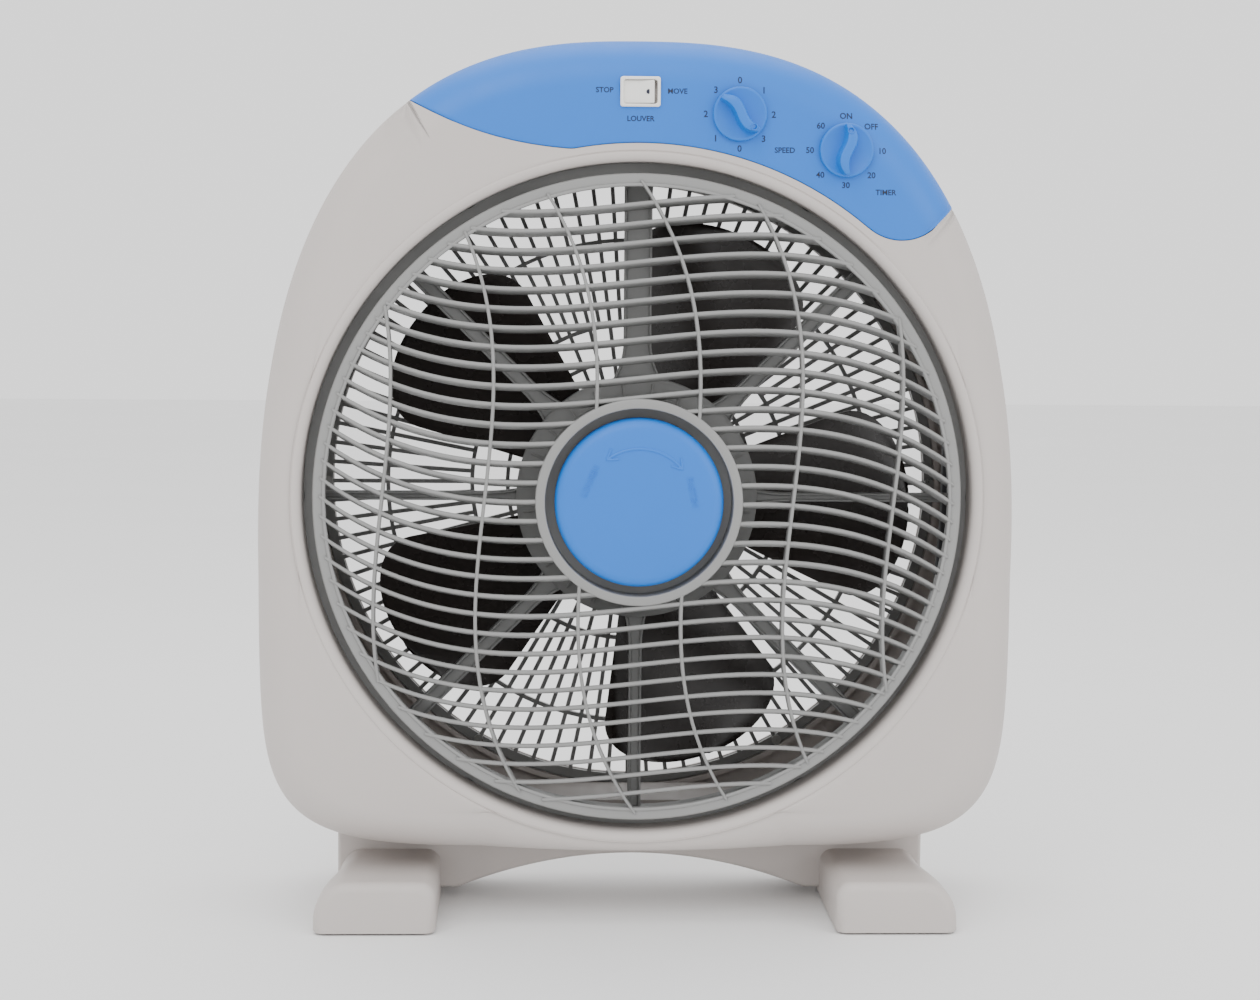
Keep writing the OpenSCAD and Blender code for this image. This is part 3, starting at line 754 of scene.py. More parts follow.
@dataclass(frozen=True)
class Seam:
    """Lower edge of the control panel in front view: a tail, an arc about the ring and a round hook."""

    arc_r: float = 203.4
    hook_x: float = 149.0
    hook_z: float = 426.5
    hook_r: float = 29.0
    count: int = 230
    samples: int = 1600
    soften: int = 21

    def curve(self) -> np.ndarray:
        """Samples the seam from its left end to its right end.

        The tail is a cubic Bezier curve, and a running mean rounds the joints of the stretches.

        Returns:
            Array (n, 2) of x and z, evenly spaced.
        """
        t = np.linspace(0, 1, 60)[:, None]
        first = np.array(arc_points(0, RING_Z, self.arc_r, 101, 101, 1)[0])
        tail = ((1 - t) ** 3 * np.array([-148, 485]) + 3 * t * (1 - t) ** 2 * np.array([-112, 462])
                + 3 * t * t * (1 - t) * np.array([-82, 450.5]) + t ** 3 * first)
        arc = np.array(arc_points(0, RING_Z, self.arc_r, 100.5, 50.5, 120))
        hook = np.array(arc_points(self.hook_x, self.hook_z, self.hook_r, 230, 318, 60))
        line = np.linspace([172.5, 410.0], [196.0, 432.5], 60)
        path = np.concatenate([tail, arc, hook, line])
        length = np.concatenate([[0], np.cumsum(np.linalg.norm(np.diff(path, axis=0), axis=1))])
        even = np.linspace(0, length[-1], self.samples)
        kernel = np.ones(self.soften) / self.soften
        smooth = [np.convolve(np.pad(np.interp(even, length, line), self.soften // 2, mode="edge"), kernel, "valid")
                  for line in path.T]
        return np.stack(smooth, axis=-1)

    def columns(self, form: FrontForm, shift: float) -> tuple[np.ndarray, np.ndarray, np.ndarray]:
        """Gives the seam as columns that run from it to the split.

        Args:
            form: the front surface.
            shift: distance that the seam moves towards the panel, in millimetres.

        Returns:
            w and angle on the seam, and the angle at the split, for every column.
        """
        path = self.curve()
        tangent = np.gradient(path, axis=0)
        tangent /= np.linalg.norm(tangent, axis=1, keepdims=True)
        path = path + shift * np.stack([-tangent[:, 1], tangent[:, 0]], axis=-1)
        w, angle = form.locate(path[:, 0], path[:, 1])
        inside = np.flatnonzero(w < 0.999)
        first, last = max(inside[0] - 1, 0), min(inside[-1] + 1, len(w) - 1)
        w, angle = w[first:last + 1].copy(), angle[first:last + 1].copy()
        w[0] = w[-1] = 1.0
        pick = np.linspace(0, len(w) - 1, self.count)
        w = np.interp(pick, np.arange(len(w)), w)
        angle = np.interp(pick, np.arange(len(angle)), angle)
        return w, angle, np.minimum.accumulate(angle)


@dataclass(frozen=True)
class FrontShell:
    """Front half of the housing: lip, well, face, rounded edge and the step that the panel lies on."""

    form: FrontForm = FrontForm()
    seam: Seam = Seam()
    gap: float = 0.22
    sunk: float = 2.7
    hook_angle: float = 49.0
    fan_out: float = 4.0
    far_columns: int = 400
    turn_back: float = 14.0
    turn_in: float = 10.0
    well_y: float = -40.0

    def _columns(self) -> tuple[np.ndarray, ...]:
        """Lays out the columns once round the ring, first along the seam and then round the rest.

        Past the hook, the columns' feet on the lip are spread evenly. Round the rest, the smooth step
        3b^2 - 2b^3 turns the columns back until they run straight outwards.

        Returns:
            w in the middle of every column, its angles at the lip, in the middle and at the split, and the
            depth of the step there.
        """
        w0, a0, a1 = self.seam.columns(self.form, -self.gap)
        number = np.arange(len(w0))
        end, around = a1[-1], a0[0] - 2 * np.pi
        corner = np.argmax(np.degrees(a0) < self.hook_angle)
        spread = np.clip((number - corner) / max(1, len(w0) - 1 - corner), 0, 1)
        foot = end - math.radians(self.fan_out)
        lip = np.where(number < corner, a0, a0[corner] + (foot - a0[corner]) * spread)
        lip_rest = np.linspace(lip[-1], around, self.far_columns + 1)[1:-1]
        lip_rest[-1] = around + 0.0006
        blend = np.clip((lip[-1] - lip_rest) / math.radians(self.turn_back), 0, 1)
        out_rest = lip_rest + (end - lip[-1]) * (1 - (3 * blend ** 2 - 2 * blend ** 3))
        before = np.clip((lip_rest - around) / math.radians(self.turn_in), 0, 1)
        w_rest = 0.5 + 0.5 * np.maximum(1 - blend, 1 - before) ** 2
        return (np.concatenate([w0, w_rest]), np.concatenate([lip, lip_rest]),
                np.concatenate([a0, lip_rest + (out_rest - lip_rest) * w_rest]), np.concatenate([a1, out_rest]),
                np.concatenate([np.full(len(w0), self.sunk), np.zeros(len(lip_rest))]))

    def build(self) -> bpy.types.Object:
        """Makes the piece as one closed grid, with a column for each angle and a row across the section.

        Returns:
            The placed piece.
        """
        w_mid, phi_lip, phi_mid, phi_out, deep = self._columns()
        point = self.form.point
        lip = [[LIP_R, self.well_y], [LIP_R, -52], *arc_points(LIP_R + 4.6, -61.4, 4.6, 180, 270, 8),
               [LIP_R + 5.2, -65.9], [LIP_R + 5.6, -65.6], [LIP_R + 5.8, -65.35]]
        rows = [circle_row(r, y, phi_lip) for r, y in lip]
        for t in np.linspace(0, 1, 26):
            ease = 0.6 * (1 - min(1.0, t * 6)) ** 2
            rows.append(point(w_mid * t * 0.997, phi_lip + (phi_mid - phi_lip) * t, ease))
        for share, near in ((0.042, 0.9985), (1.0, 1.0)):
            rows.append(point(w_mid * near, phi_mid, deep * share))
        for t in np.linspace(0.03, 1, 24):
            rows.append(point(w_mid + (1 - w_mid) * t, phi_mid + (phi_out - phi_mid) * t, deep))
        for t in np.linspace(1, 0, 12):
            rows.append(point(t, phi_lip + (phi_out - phi_lip) * t, WALL + self.sunk))
        rows += [circle_row(LIP_R + WALL, y, phi_lip) for y in (-58, self.well_y)]
        shape = Shape().grid(np.stack(rows), wrap_rows=True, wrap_cols=True)
        piece = shape.build("front_shell", MATERIALS[Slot.HOUSING])
        return place(piece, Body.HOUSING, Slot.HOUSING, "front_housing")


@dataclass(frozen=True)
class ControlPanel:
    """Blue cover that lies flush in the front shell, with openings for the rocker and the knobs' spindles."""

    form: FrontForm = FrontForm()
    seam: Seam = Seam()
    gap: float = 0.22
    thick: float = 2.3
    spindle_r: float = 5.0
    rocker_half: Pair = (10.6, 7.6)

    def build(self, rocker: Sequence[float], knobs: Sequence[Sequence[float]]) -> bpy.types.Object:
        """Makes the panel as a closed skin and cuts the openings.

        Args:
            rocker: x and z of the rocker.
            knobs: x and z of each knob.

        Returns:
            The placed piece.
        """
        w0, a0, a1 = self.seam.columns(self.form, self.gap)
        section = [(0.0, self.thick), (0.0, 0.55), (0.0072, 0.16), (0.018, 0.0)]
        section += [(t, 0.0) for t in np.linspace(0.05, 1, 46)]
        section += [(t, self.thick) for t in np.linspace(1, 0.04, 16)]
        rows = [self.form.point(w0 + (1 - w0) * t, a0 + (a1 - a0) * t, skin) for t, skin in section]
        piece = Shape().grid(np.stack(rows), wrap_rows=True).build("panel_skin", MATERIALS[Slot.PANEL])
        tools = Shape()
        r = self.spindle_r
        for at in knobs:
            tools.add(revolve([[0, -80], [r, -80], [r, -50], [0, -50]], 40, at, closed=False))
        (x, z), (half_x, half_z) = rocker, self.rocker_half
        tools.add(prism(rounded_box(x - half_x, x + half_x, z - half_z, z + half_z, 1.0), -80, -50))
        cut(piece, tools.build("tool"))
        close_ends(piece)
        return place(piece, Body.HOUSING, Slot.PANEL, "control_panel")


@dataclass(frozen=True)
class RearShell:
    """Rear half of the housing with the ledge for the grille, screw wells and the carrying pocket."""

    outline: Outline = Outline()
    edge: float = 18.0
    draft: float = 6.0
    lip_r: float = 190.0
    lip_y: float = 62.0
    ledge_r: float = 183.5
    ledge_y: float = 70.3
    well_places: tuple[Pair, ...] = ((172, 400), (205, 200), (180, 74), (74, 491))
    pocket_half: float = 58.0
    pocket_z: Pair = (458.0, 484.0)
    gland_at: Pair = (140.0, 84.0)
    gland_r: float = 7.1

    def build(self) -> bpy.types.Object:
        """Makes the shell as one closed grid and cuts the wells, the pocket and the cable entry.

        Returns:
            The placed piece that lines the wells and the pocket.
        """
        piece = self._skin().build("rear_shell", MATERIALS[Slot.HOUSING])
        wells = [(s * x, z) for x, z in self.well_places for s in (-1, 1)]
        half, (low, high), r = self.pocket_half, self.pocket_z, self.gland_r
        tools = Shape().add(prism(rounded_box(-half, half, low, high, 6), 60, 90))
        well = [[0, 50], [4.4, 50], [4.4, 73.4], [5.1, 74.1], [5.1, 90], [0, 90]]
        for at in wells:
            tools.add(revolve(well, 40, at, closed=False))
        tools.add(revolve([[0, 50], [r, 50], [r, 90], [0, 90]], 48, self.gland_at, closed=False))
        cut(piece, tools.build("tool"))
        place(piece, Body.HOUSING, Slot.HOUSING, "rear_housing")
        liners = Shape()
        for at in wells:
            liners.add(revolve([[4.35, 72.8], [4.35, 20], [2.3, 20], [2.3, 17], [6, 17], [6, 72.8]], 40, at))
        liners.add(self._pocket())
        return place(liners.build("rear_wells", MATERIALS[Slot.HOUSING]), Body.HOUSING, Slot.HOUSING, "rear_housing")

    def _skin(self) -> Shape:
        """Makes the shell's skin as a section (distance from the axis, y) carried round the outline.

        The edge is a quarter circle: r = side - e(1 - cos a), y = back - e(1 - sin a).

        Returns:
            The closed shape.
        """
        angle = np.linspace(0, 2 * np.pi, 540, endpoint=False)
        out = self.outline.reach(angle)
        edge = np.minimum(self.edge, out - self.lip_r - 6)
        side = out - self.draft
        inner = side - edge
        ledge = self.ledge_r
        section = [(out - WALL, SPLIT_Y + 0.3), (out - 0.5, SPLIT_Y + 0.3), (out, SPLIT_Y + 0.8)]
        section += [(out - (out - side) * t, SPLIT_Y + (BACK_Y - edge - SPLIT_Y) * t)
                    for t in np.linspace(0.1, 0.9, 5)]
        section += [(side - edge * (1 - np.cos(a)), BACK_Y - edge * (1 - np.sin(a)))
                    for a in np.radians(np.linspace(0, 90, 10))]
        section += [(inner + (ledge + 1.2 - inner) * t, BACK_Y) for t in (0.25, 0.5, 0.75, 0.95)]
        section += [(ledge + 1.2, BACK_Y), (ledge + 0.35, BACK_Y - 0.35), (ledge, BACK_Y - 1.2),
                    (ledge, self.ledge_y), (self.lip_r, self.ledge_y), (self.lip_r, self.lip_y),
                    (self.lip_r + WALL, self.lip_y), (self.lip_r + WALL, BACK_Y - WALL)]
        section += [(side - WALL - edge * (1 - np.cos(a)), BACK_Y - WALL - edge * (1 - np.sin(a)))
                    for a in np.radians(np.linspace(90, 0, 6))]
        rows = [np.stack(np.broadcast_arrays(r * np.cos(angle), y, RING_Z + r * np.sin(angle)), axis=-1)
                for r, y in section]
        return Shape().grid(np.stack(rows), wrap_rows=True, wrap_cols=True)

    def _pocket(self) -> Shape:
        """Makes the walls and floor of the carrying pocket as rounded rings, from the floor's inside out.

        Returns:
            The closed shape.
        """
        sizes = ((52.0, 40.0, 2.0), (55.5, 40.6, 4.0), (57.9, 43.0, 6.0), (57.9, 72.9, 6.0), (60.7, 72.9, 8.0),
                 (60.7, 42.0, 8.0), (58.0, 38.0, 6.0), (54.0, 37.2, 4.0))
        (low, high), inside = self.pocket_z, self.pocket_half - 0.1
        rows = []
        for half, y, r in sizes:
            grow = half - inside
            ring = rounded_box(-half, half, low - grow, high + grow, r)
            rows.append(np.stack([ring[:, 0], np.full(len(ring), y), ring[:, 1]], axis=-1))
        return Shape().grid(np.stack(rows), wrap_cols=True, cap=True)


@dataclass(frozen=True)
class Base:
    """Neck under the body with its arched opening, and the two long feet."""

    neck_x: float = 177.0
    front: float = 4.3
    back: float = 58.0
    arch_x: float = 119.0
    arch_z: float = 27.0
    leg_z: float = 6.0
    edge: float = 2.5
    foot_x: float = 150.0
    half_w: float = 35.0
    half_l: float = 88.0
    height: float = 30.0
    sole_z: float = 1.2
    end_r: float = 6.0
    narrow: float = 8.0

    def build(self) -> None:
        """Makes the neck and both feet."""
        place(self._neck().build("neck", MATERIALS[Slot.HOUSING], 30), Body.HOUSING, Slot.HOUSING, "rear_housing")
        for side, name in ((-1, "foot_left"), (1, "foot_right")):
            piece = self._foot(side).build(f"{name}_block", MATERIALS[Slot.HOUSING], 40)
            place(piece, Body.HOUSING, Slot.HOUSING, name)

    def _neck(self) -> Shape:
        """Makes the neck as a loft along X, whose lower edge follows the arch a(1 - (x/b)^2) between the legs.

        Returns:
            The closed shape.
        """
        e = self.edge
        a = np.radians(np.linspace(0, 90, 6))
        end_x = self.neck_x - e * (1 - np.cos(a))
        end_in = e * (1 - np.sin(a))
        leg = self.arch_x - 5.5
        inner = np.linspace(-leg, leg, 61)
        outer = np.array([leg + 1.5, self.foot_x])
        xs = np.concatenate([-end_x, -outer[::-1], inner, outer, end_x[::-1]])
        inset = np.concatenate([end_in, np.zeros(len(inner) + 4), end_in[::-1]])
        low = np.where(np.abs(xs) > leg + 1, self.leg_z, self.arch_z * (1 - (xs / self.arch_x) ** 2))
        low = np.maximum(low, self.leg_z) + inset
        rows = []
        for y, start, side in ((self.front + e, 180, inset), (self.back - e, 270, -inset)):
            for q in np.radians(np.linspace(start, start + 90, 5)):
                rows.append(np.stack([xs, y + side + e * np.cos(q), low + e + e * np.sin(q)], axis=-1))
        for y, side in ((self.back, -inset), (self.front, inset)):
            rows.append(np.stack([xs, y + side, np.full_like(xs, 60.0)], axis=-1))
        return Shape().grid(np.stack(rows, axis=1), wrap_cols=True, cap=True)

    def _foot(self, side: int) -> Shape:
        """Makes a foot as a loft of rounded sections along Y.

        A section is scaled about the middle of the sole so that its top and sides come in by the inset of
        a quarter circle near each end. The outer side comes in further back, by a smooth step 3b^2 - 2b^3.

        Args:
            side: -1 for the left foot and 1 for the right one.

        Returns:
            The closed shape.
        """
        w, h, sole, r = self.half_w, self.height, self.sole_z, self.end_r
        shoulder = [[w - 19 + 19 * math.cos(a), 7 + (h - 7) * math.sin(a)]
                    for a in np.radians(np.linspace(0, 90, 14))]
        ring = np.array([[w - 0.8, sole], [w, sole + 1], *shoulder, *arc_points(8.5 - w, h - 8.5, 8.5, 90, 176, 8),
                         [-w, sole + 1], [-w + 0.8, sole]])
        a = np.radians(np.linspace(0, 90, 8))
        end_in, end_y = r * (1 - np.sin(a)), r * (1 - np.cos(a)) - self.half_l
        middle = [-72, -62, -54, -46, -38, -30, -22, -12, 0, 60]
        insets = np.concatenate([[3 * r], end_in, np.zeros(len(middle)), end_in[::-1], [3 * r]])
        ys = np.concatenate([[-self.half_l], end_y, middle, -end_y[::-1], [self.half_l]])
        back = np.clip((ys + 70) / 60, 0, 1)
        narrow = self.narrow * (3 * back ** 2 - 2 * back ** 3)
        outer = np.clip(ring[None, :, 0] / w, 0, 1)
        across = ring[None, :, 0] * (1 - insets / w)[:, None] - outer * narrow[:, None]
        z = sole + (ring[None, :, 1] - sole) * (1 - insets / h)[:, None]
        points = np.stack(np.broadcast_arrays(side * (self.foot_x + across), ys[:, None], z), axis=-1)
        return Shape().grid(points, wrap_cols=True, cap=True)


# ---------------------------------------------------------------- louvre, bracket and blades


@dataclass(frozen=True)
class LouvreGrille:
    """Turning grille: waved vanes and ribs on a shallow dome, a flat rim and a ring round the cap."""

    rim_r: float = 186.5
    rim_w: float = 7.5
    rim_y: float = -62.0
    depth: float = 13.0
    dome_r: float = 850.0
    vanes: int = 32
    pitch: float = 10.93
    vane_thick: float = 2.5
    tilt: float = 13.0
    ribs: int = 6
    rib_pitch: float = 58.6
    rib_thick: float = 2.1
    rib_proud: float = 0.5
    slope: float = 0.1117
    cubic: float = 8.1e-6
    hub_r: float = 59.0
    bore_r: float = 9.2
    shortest: float = 3.0

    def wave(self, t: np.ndarray) -> np.ndarray:
        """Offset of a vane or rib from its straight line: b t - a t^3.

        Args:
            t: distance from the middle along the bar.

        Returns:
            Offset in millimetres.
        """
        return self.slope * t - self.cubic * t ** 3

    def dome(self, r2: np.ndarray) -> np.ndarray:
        """y of the sphere that the fronts of the bars lie on.

        Args:
            r2: squared distance from the axis.

        Returns:
            y in millimetres.
        """
        middle = self.rim_y + math.sqrt(self.dome_r ** 2 - self.rim_r ** 2)
        return middle - np.sqrt(self.dome_r ** 2 - r2)

    def _bar(self, level: float, upright: bool, thick: float, proud: float, tilt: float) -> Shape:
        """Makes one bar, in two stretches where it meets the ring.

        The section is a stadium: a half circle in front, straight sides and a flat back, turned by the tilt.

        Args:
            level: place of the bar's middle across its length.
            upright: a rib rather than a vane.
            thick: thickness.
            proud: how far it stands before the dome.
            tilt: turn of the section in degrees.

        Returns:
            The closed shape.
        """
        t = np.linspace(-self.rim_r, self.rim_r, 1500)
        across = level + self.wave(t)
        r = np.hypot(t, across)
        ok = (r < self.rim_r - self.rim_w / 2 - 0.4) & (r > self.hub_r - 3)
        edges = np.flatnonzero(np.diff(ok.astype(int)))
        shape = Shape()
        for first, last in zip(edges[::2], edges[1::2]):
            if t[last] - t[first] < self.shortest:
                continue
            s = np.linspace(t[first], t[last], max(4, int((t[last] - t[first]) / 7)))
            a = level + self.wave(s)
            y = self.dome(s * s + a * a) - proud
            h = thick / 2
            section = [[h * math.cos(q), h - h * math.sin(q)] for q in np.radians(np.linspace(0, 180, 7))]
            section += [[-h * 0.75, self.depth - 0.3], [h * 0.75, self.depth - 0.3]]
            p = np.array(section)
            lean = math.radians(tilt)
            off = p[:, 0] * math.cos(lean) - p[:, 1] * math.sin(lean)
            back = p[:, 0] * math.sin(lean) + p[:, 1] * math.cos(lean)
            along = np.broadcast_to(s[:, None], (len(s), len(p)))
            cross = a[:, None] + off[None, :]
            deep = y[:, None] + back[None, :]
            order = (cross, deep, along) if upright else (along, deep, cross)
            points = np.stack(order, axis=-1)
            points[..., 2] += RING_Z
            shape.grid(points, wrap_cols=True, cap=True)
        return shape

    def build(self) -> bpy.types.Object:
        """Makes the whole grille.

        Returns:
            The placed piece.
        """
        shape = Shape()
        for i in range(self.vanes):
            level = (i - (self.vanes - 1) / 2) * self.pitch
            shape.add(self._bar(level, False, self.vane_thick, 0.0, self.tilt))
        for i in range(self.ribs):
            level = (i - (self.ribs - 1) / 2) * self.rib_pitch
            shape.add(self._bar(level, True, self.rib_thick, self.rib_proud, 0.0))
        r0, r1, y = self.rim_r - self.rim_w, self.rim_r, self.rim_y
        shape.add(revolve([[r0, y + 3], [r0, y - 0.2], *arc_points(r0 + 0.7, y - 0.4, 0.7, 180, 270, 4),
                           *arc_points(r0 + 1.3, y - 0.4, 0.7, 270, 350, 3),
                           [r0 + 2.2, y], [r1 - 1.4, y], *arc_points(r1 - 1.3, y + 1.3, 1.3, 270, 360, 5),
                           [r1, y + self.depth], [r1 - 2, y + self.depth], [r1 - 2, y + 3]], 300))
        h, f, bore = self.hub_r, float(self.dome(np.array(self.hub_r ** 2))), self.bore_r
        shape.add(revolve([[bore, -64], [h - 5.5, -64], [h - 5.5, f - 0.6],
                           *arc_points(h - 4.7, f - 0.8, 0.8, 180, 270, 4),
                           *arc_points(h - 1.2, f + 0.4, 1.2, 270, 360, 5), [h, -60.5], [bore, -60.5]], 200))
        return place(shape.build("louvre_look", MATERIALS[Slot.GRILLE]), Body.LOUVRE, Slot.GRILLE, "louvre_grille")


@dataclass(frozen=True)
class FrontBracket:
    """Spoked bracket behind the louvre: eight channels, a stepped dish and the outer ring."""

    front: float = -39.7
    back: float = -31.7
    widths: tuple[float, ...] = (5.0, 9.0, 16.0, 9.0, 5.0, 9.0, 7.6, 9.0)
    lip: float = 1.5
    dish_ribs: int = 24
    bosses: int = 6
    boss_ring_r: float = 198.5

    def _spoke(self, angle: float, width: float) -> Shape:
        """Makes one channel with two raised edges that spreads where it meets the dish.

        A point of the section lies at s h + d across the spoke, where h is half the width there.

        Args:
            angle: degrees counter-clockwise from +X.
            width: width over the edges.

        Returns:
            The closed shape.
        """
        r = np.concatenate([np.linspace(66, 90, 9), np.linspace(100, 187, 12)])
        flare = np.clip((90 - r) / 24, 0, 1) ** 2
        h = (width / 2 * (1 + 0.9 * flare))[:, None]
        lip, f, b = self.lip, self.front, self.back
        section = [(-1, 0, f), (-1, 0.4, f - 0.5), (-1, lip - 0.4, f - 0.5), (-1, lip, f), (-1, lip + 0.2, f + 2),
                   (1, -lip - 0.2, f + 2), (1, -lip, f), (1, -lip + 0.4, f - 0.5), (1, -0.4, f - 0.5), (1, 0, f),
                   (1, 0, b), (1, -1.8, b), (-1, 1.8, b), (-1, 0, b)]
        across = np.concatenate([s * h + d for s, d, _ in section], axis=1)
        depth = np.array([y for _, _, y in section])
        a = math.radians(angle)
        x = r[:, None] * math.cos(a) - across * math.sin(a)
        z = r[:, None] * math.sin(a) + across * math.cos(a) + RING_Z
        return Shape().grid(np.stack([x, np.broadcast_to(depth, x.shape), z], axis=-1), wrap_cols=True, cap=True)

    def _dish_rib(self, angle: float) -> Shape:
        """Makes one thin rib down the slope of the dish.

        Args:
            angle: degrees counter-clockwise from +X.

        Returns:
            The closed shape.
        """
        a = math.radians(angle)
        ends = np.array([[36.5, -54.6], [66.5, -45.4]])
        ring = np.array([[-0.6, 1.5], [-0.6, -0.3], [-0.3, -0.6], [0.3, -0.6], [0.6, -0.3], [0.6, 1.5]])
        x = ends[:, :1] * math.cos(a) - ring[None, :, 0] * math.sin(a)
        z = ends[:, :1] * math.sin(a) + ring[None, :, 0] * math.cos(a) + RING_Z
        y = ends[:, 1:] + ring[None, :, 1]
        return Shape().grid(np.stack([x, y, z], axis=-1), wrap_cols=True, cap=True)

    def build(self) -> bpy.types.Object:
        """Makes the bracket.

        Returns:
            The placed piece.
        """
        shape = Shape()
        for i, width in enumerate(self.widths):
            shape.add(self._spoke(i * 360 / len(self.widths), width))
        f, b = self.front, self.back
        shape.add(revolve([[183, f + 0.4], [183.4, f], [195.6, f], [196, f + 0.4], [196, -36], [186, -36],
                           [186, b], [183, b]], 240))
        dish = [[4.4, -56], [34, -56], [34.8, -55.6], [36, -54.4], [47, -50.6], [48, -50.6], [49, -50.0],
                [57.6, -47.4], [58.6, -47.4], [59.4, -46.8], [66, -44.9], [69.0, -44], [70, -43.2], [70, b],
                [67, b], [67, -41.6], [57, -44.8], [33, -53.2], [4.4, -53.2]]
        shape.add(revolve(dish, 160))
        for i in range(self.dish_ribs):
            shape.add(self._dish_rib((i + 0.5) * 360 / self.dish_ribs))
        for i in range(self.bosses):
            at = arc_points(0, RING_Z, self.boss_ring_r, i * 60, i * 60, 1)[0]
            shape.add(revolve([[2.3, f], [6.1, f], [6.5, f + 0.4], [6.5, -36], [2.3, -36]], 40, at))
        return place(shape.build("bracket_look", MATERIALS[Slot.GRILLE]), Body.HOUSING, Slot.GRILLE, "front_bracket")


@dataclass(frozen=True)
class FanBlades:
    """Five broad twisted blades round a hub.

    A blade runs from u = 0 at the hub to 1 at the tip, and from v = 0 to 1 across. The radius is
    r = r0 + (r1 - r0) sin(pi u / 2), and the angle across is s(2v - 1). The depth is
    r sin(angle) (0.62 - 0.3 u) + c(1 - (2v - 1)^2) - 4, where c is the camber. Over the last stretch the
    spread s narrows to round the tips.
    """

    count: int = 5
    radius: float = 165.0
    hub_r: float = 44.0
    spread: float = 22.8
    phase: float = 2.5
    thick: float = 2.2
    camber: float = 4.5
    tip: float = 32.0
    tip_power: float = 2.2

    def _blade(self, turn: float) -> Shape:
        """Makes one blade.

        Args:
            turn: degrees clockwise from the right, seen from the front.

        Returns:
            The closed shape.
        """
        u = np.linspace(0, 1, 40)[:, None]
        v = np.linspace(0, 1, 26)[None, :]
        r = self.hub_r - 2 + (self.radius - self.hub_r + 2) * np.sin(np.pi / 2 * u)
        past = np.clip((r - (self.radius - self.tip)) / self.tip, 0, 1)
        s = np.radians(self.spread) * (1 - 0.999 * past ** self.tip_power) ** (1 / self.tip_power)
        angle = s * (2 * v - 1)
        y = r * np.sin(angle) * (0.62 - 0.30 * u) + self.camber * (1 - (2 * v - 1) ** 2) - 4
        thin = self.thick * (0.35 + 0.65 * np.clip((1 - np.abs(2 * v - 1)) * 9, 0, 1) ** 0.5) + 0 * y
        a = angle + math.radians(-turn)
        front, rear = (np.stack([r * np.cos(a), y + lift, r * np.sin(a) + RING_Z], axis=-1)
                       for lift in (0.5 * self.thick - 0.5 * thin, 0.5 * self.thick + 0.5 * thin))
        section = np.concatenate([front, rear[:, ::-1]], axis=1)
        return Shape().grid(section, wrap_cols=True, cap=True)

    def build(self) -> bpy.types.Object:
        """Makes blades and hub.

        Returns:
            The placed piece.
        """
        shape = Shape()
        for i in range(self.count):
            shape.add(self._blade(self.phase + i * 360 / self.count))
        h = self.hub_r
        shape.add(revolve([[4.05, -22], [h - 6, -22], *arc_points(h - 5, -17, 5, 270, 360, 7), [h, 17], [h - 2.5, 17],
                           [h - 2.5, -16], [h - 7, -19], [9, -19], [9, 12.5], [4.05, 12.5]], 120))
        return place(shape.build("blades_look", MATERIALS[Slot.BLADE], 45), Body.FAN, Slot.BLADE, "fan_blade")


# ---------------------------------------------------------------- controls


def text_mesh(words: str, size: float, at: Sequence[float],
              surface: Callable[[np.ndarray, np.ndarray], np.ndarray],
              thick: float = 0.12, turn: float = 0.0, bold: float = 0.0, root: float = 0.15) -> Shape:
    """Makes flat lettering that lies on a surface seen from the front.

    Args:
        words: letters or numbers.
        size: height of a capital in millimetres.
        at: x and z of the middle.
        surface: function that gives y for x and z.
        thick: height over the surface.
        turn: degrees counter-clockwise.
        bold: extra thickness of the strokes on each side.
        root: depth under the surface.

    Returns:
        The closed shape.
    """
    curve = bpy.data.curves.new("words", "FONT")
    curve.body = words
    curve.size = size / CAPITAL
    curve.align_x = "CENTER"
    curve.resolution_u = 3
    curve.extrude = 0.5
    curve.offset = bold
    holder = bpy.data.objects.new("words", curve)
    bpy.context.scene.collection.objects.link(holder)
    bpy.context.view_layer.update()
    mesh = bpy.data.meshes.new_from_object(holder.evaluated_get(bpy.context.evaluated_depsgraph_get()))
    bpy.data.objects.remove(holder)
    co = np.empty(len(mesh.vertices) * 3)
    mesh.vertices.foreach_get("co", co)
    co = co.reshape(-1, 3)
    a = math.radians(turn)
    right, up = co[:, 0], co[:, 1] - size / 2
    x = at[0] + right * math.cos(a) - up * math.sin(a)
    z = at[1] + right * math.sin(a) + up * math.cos(a)
    y = surface(x, z) - np.where(co[:, 2] > 0, thick, -root)
    shape = Shape([np.stack([x, y, z], axis=-1)], [list(p.vertices) for p in mesh.polygons], len(x))
    bpy.data.meshes.remove(mesh)
    return shape


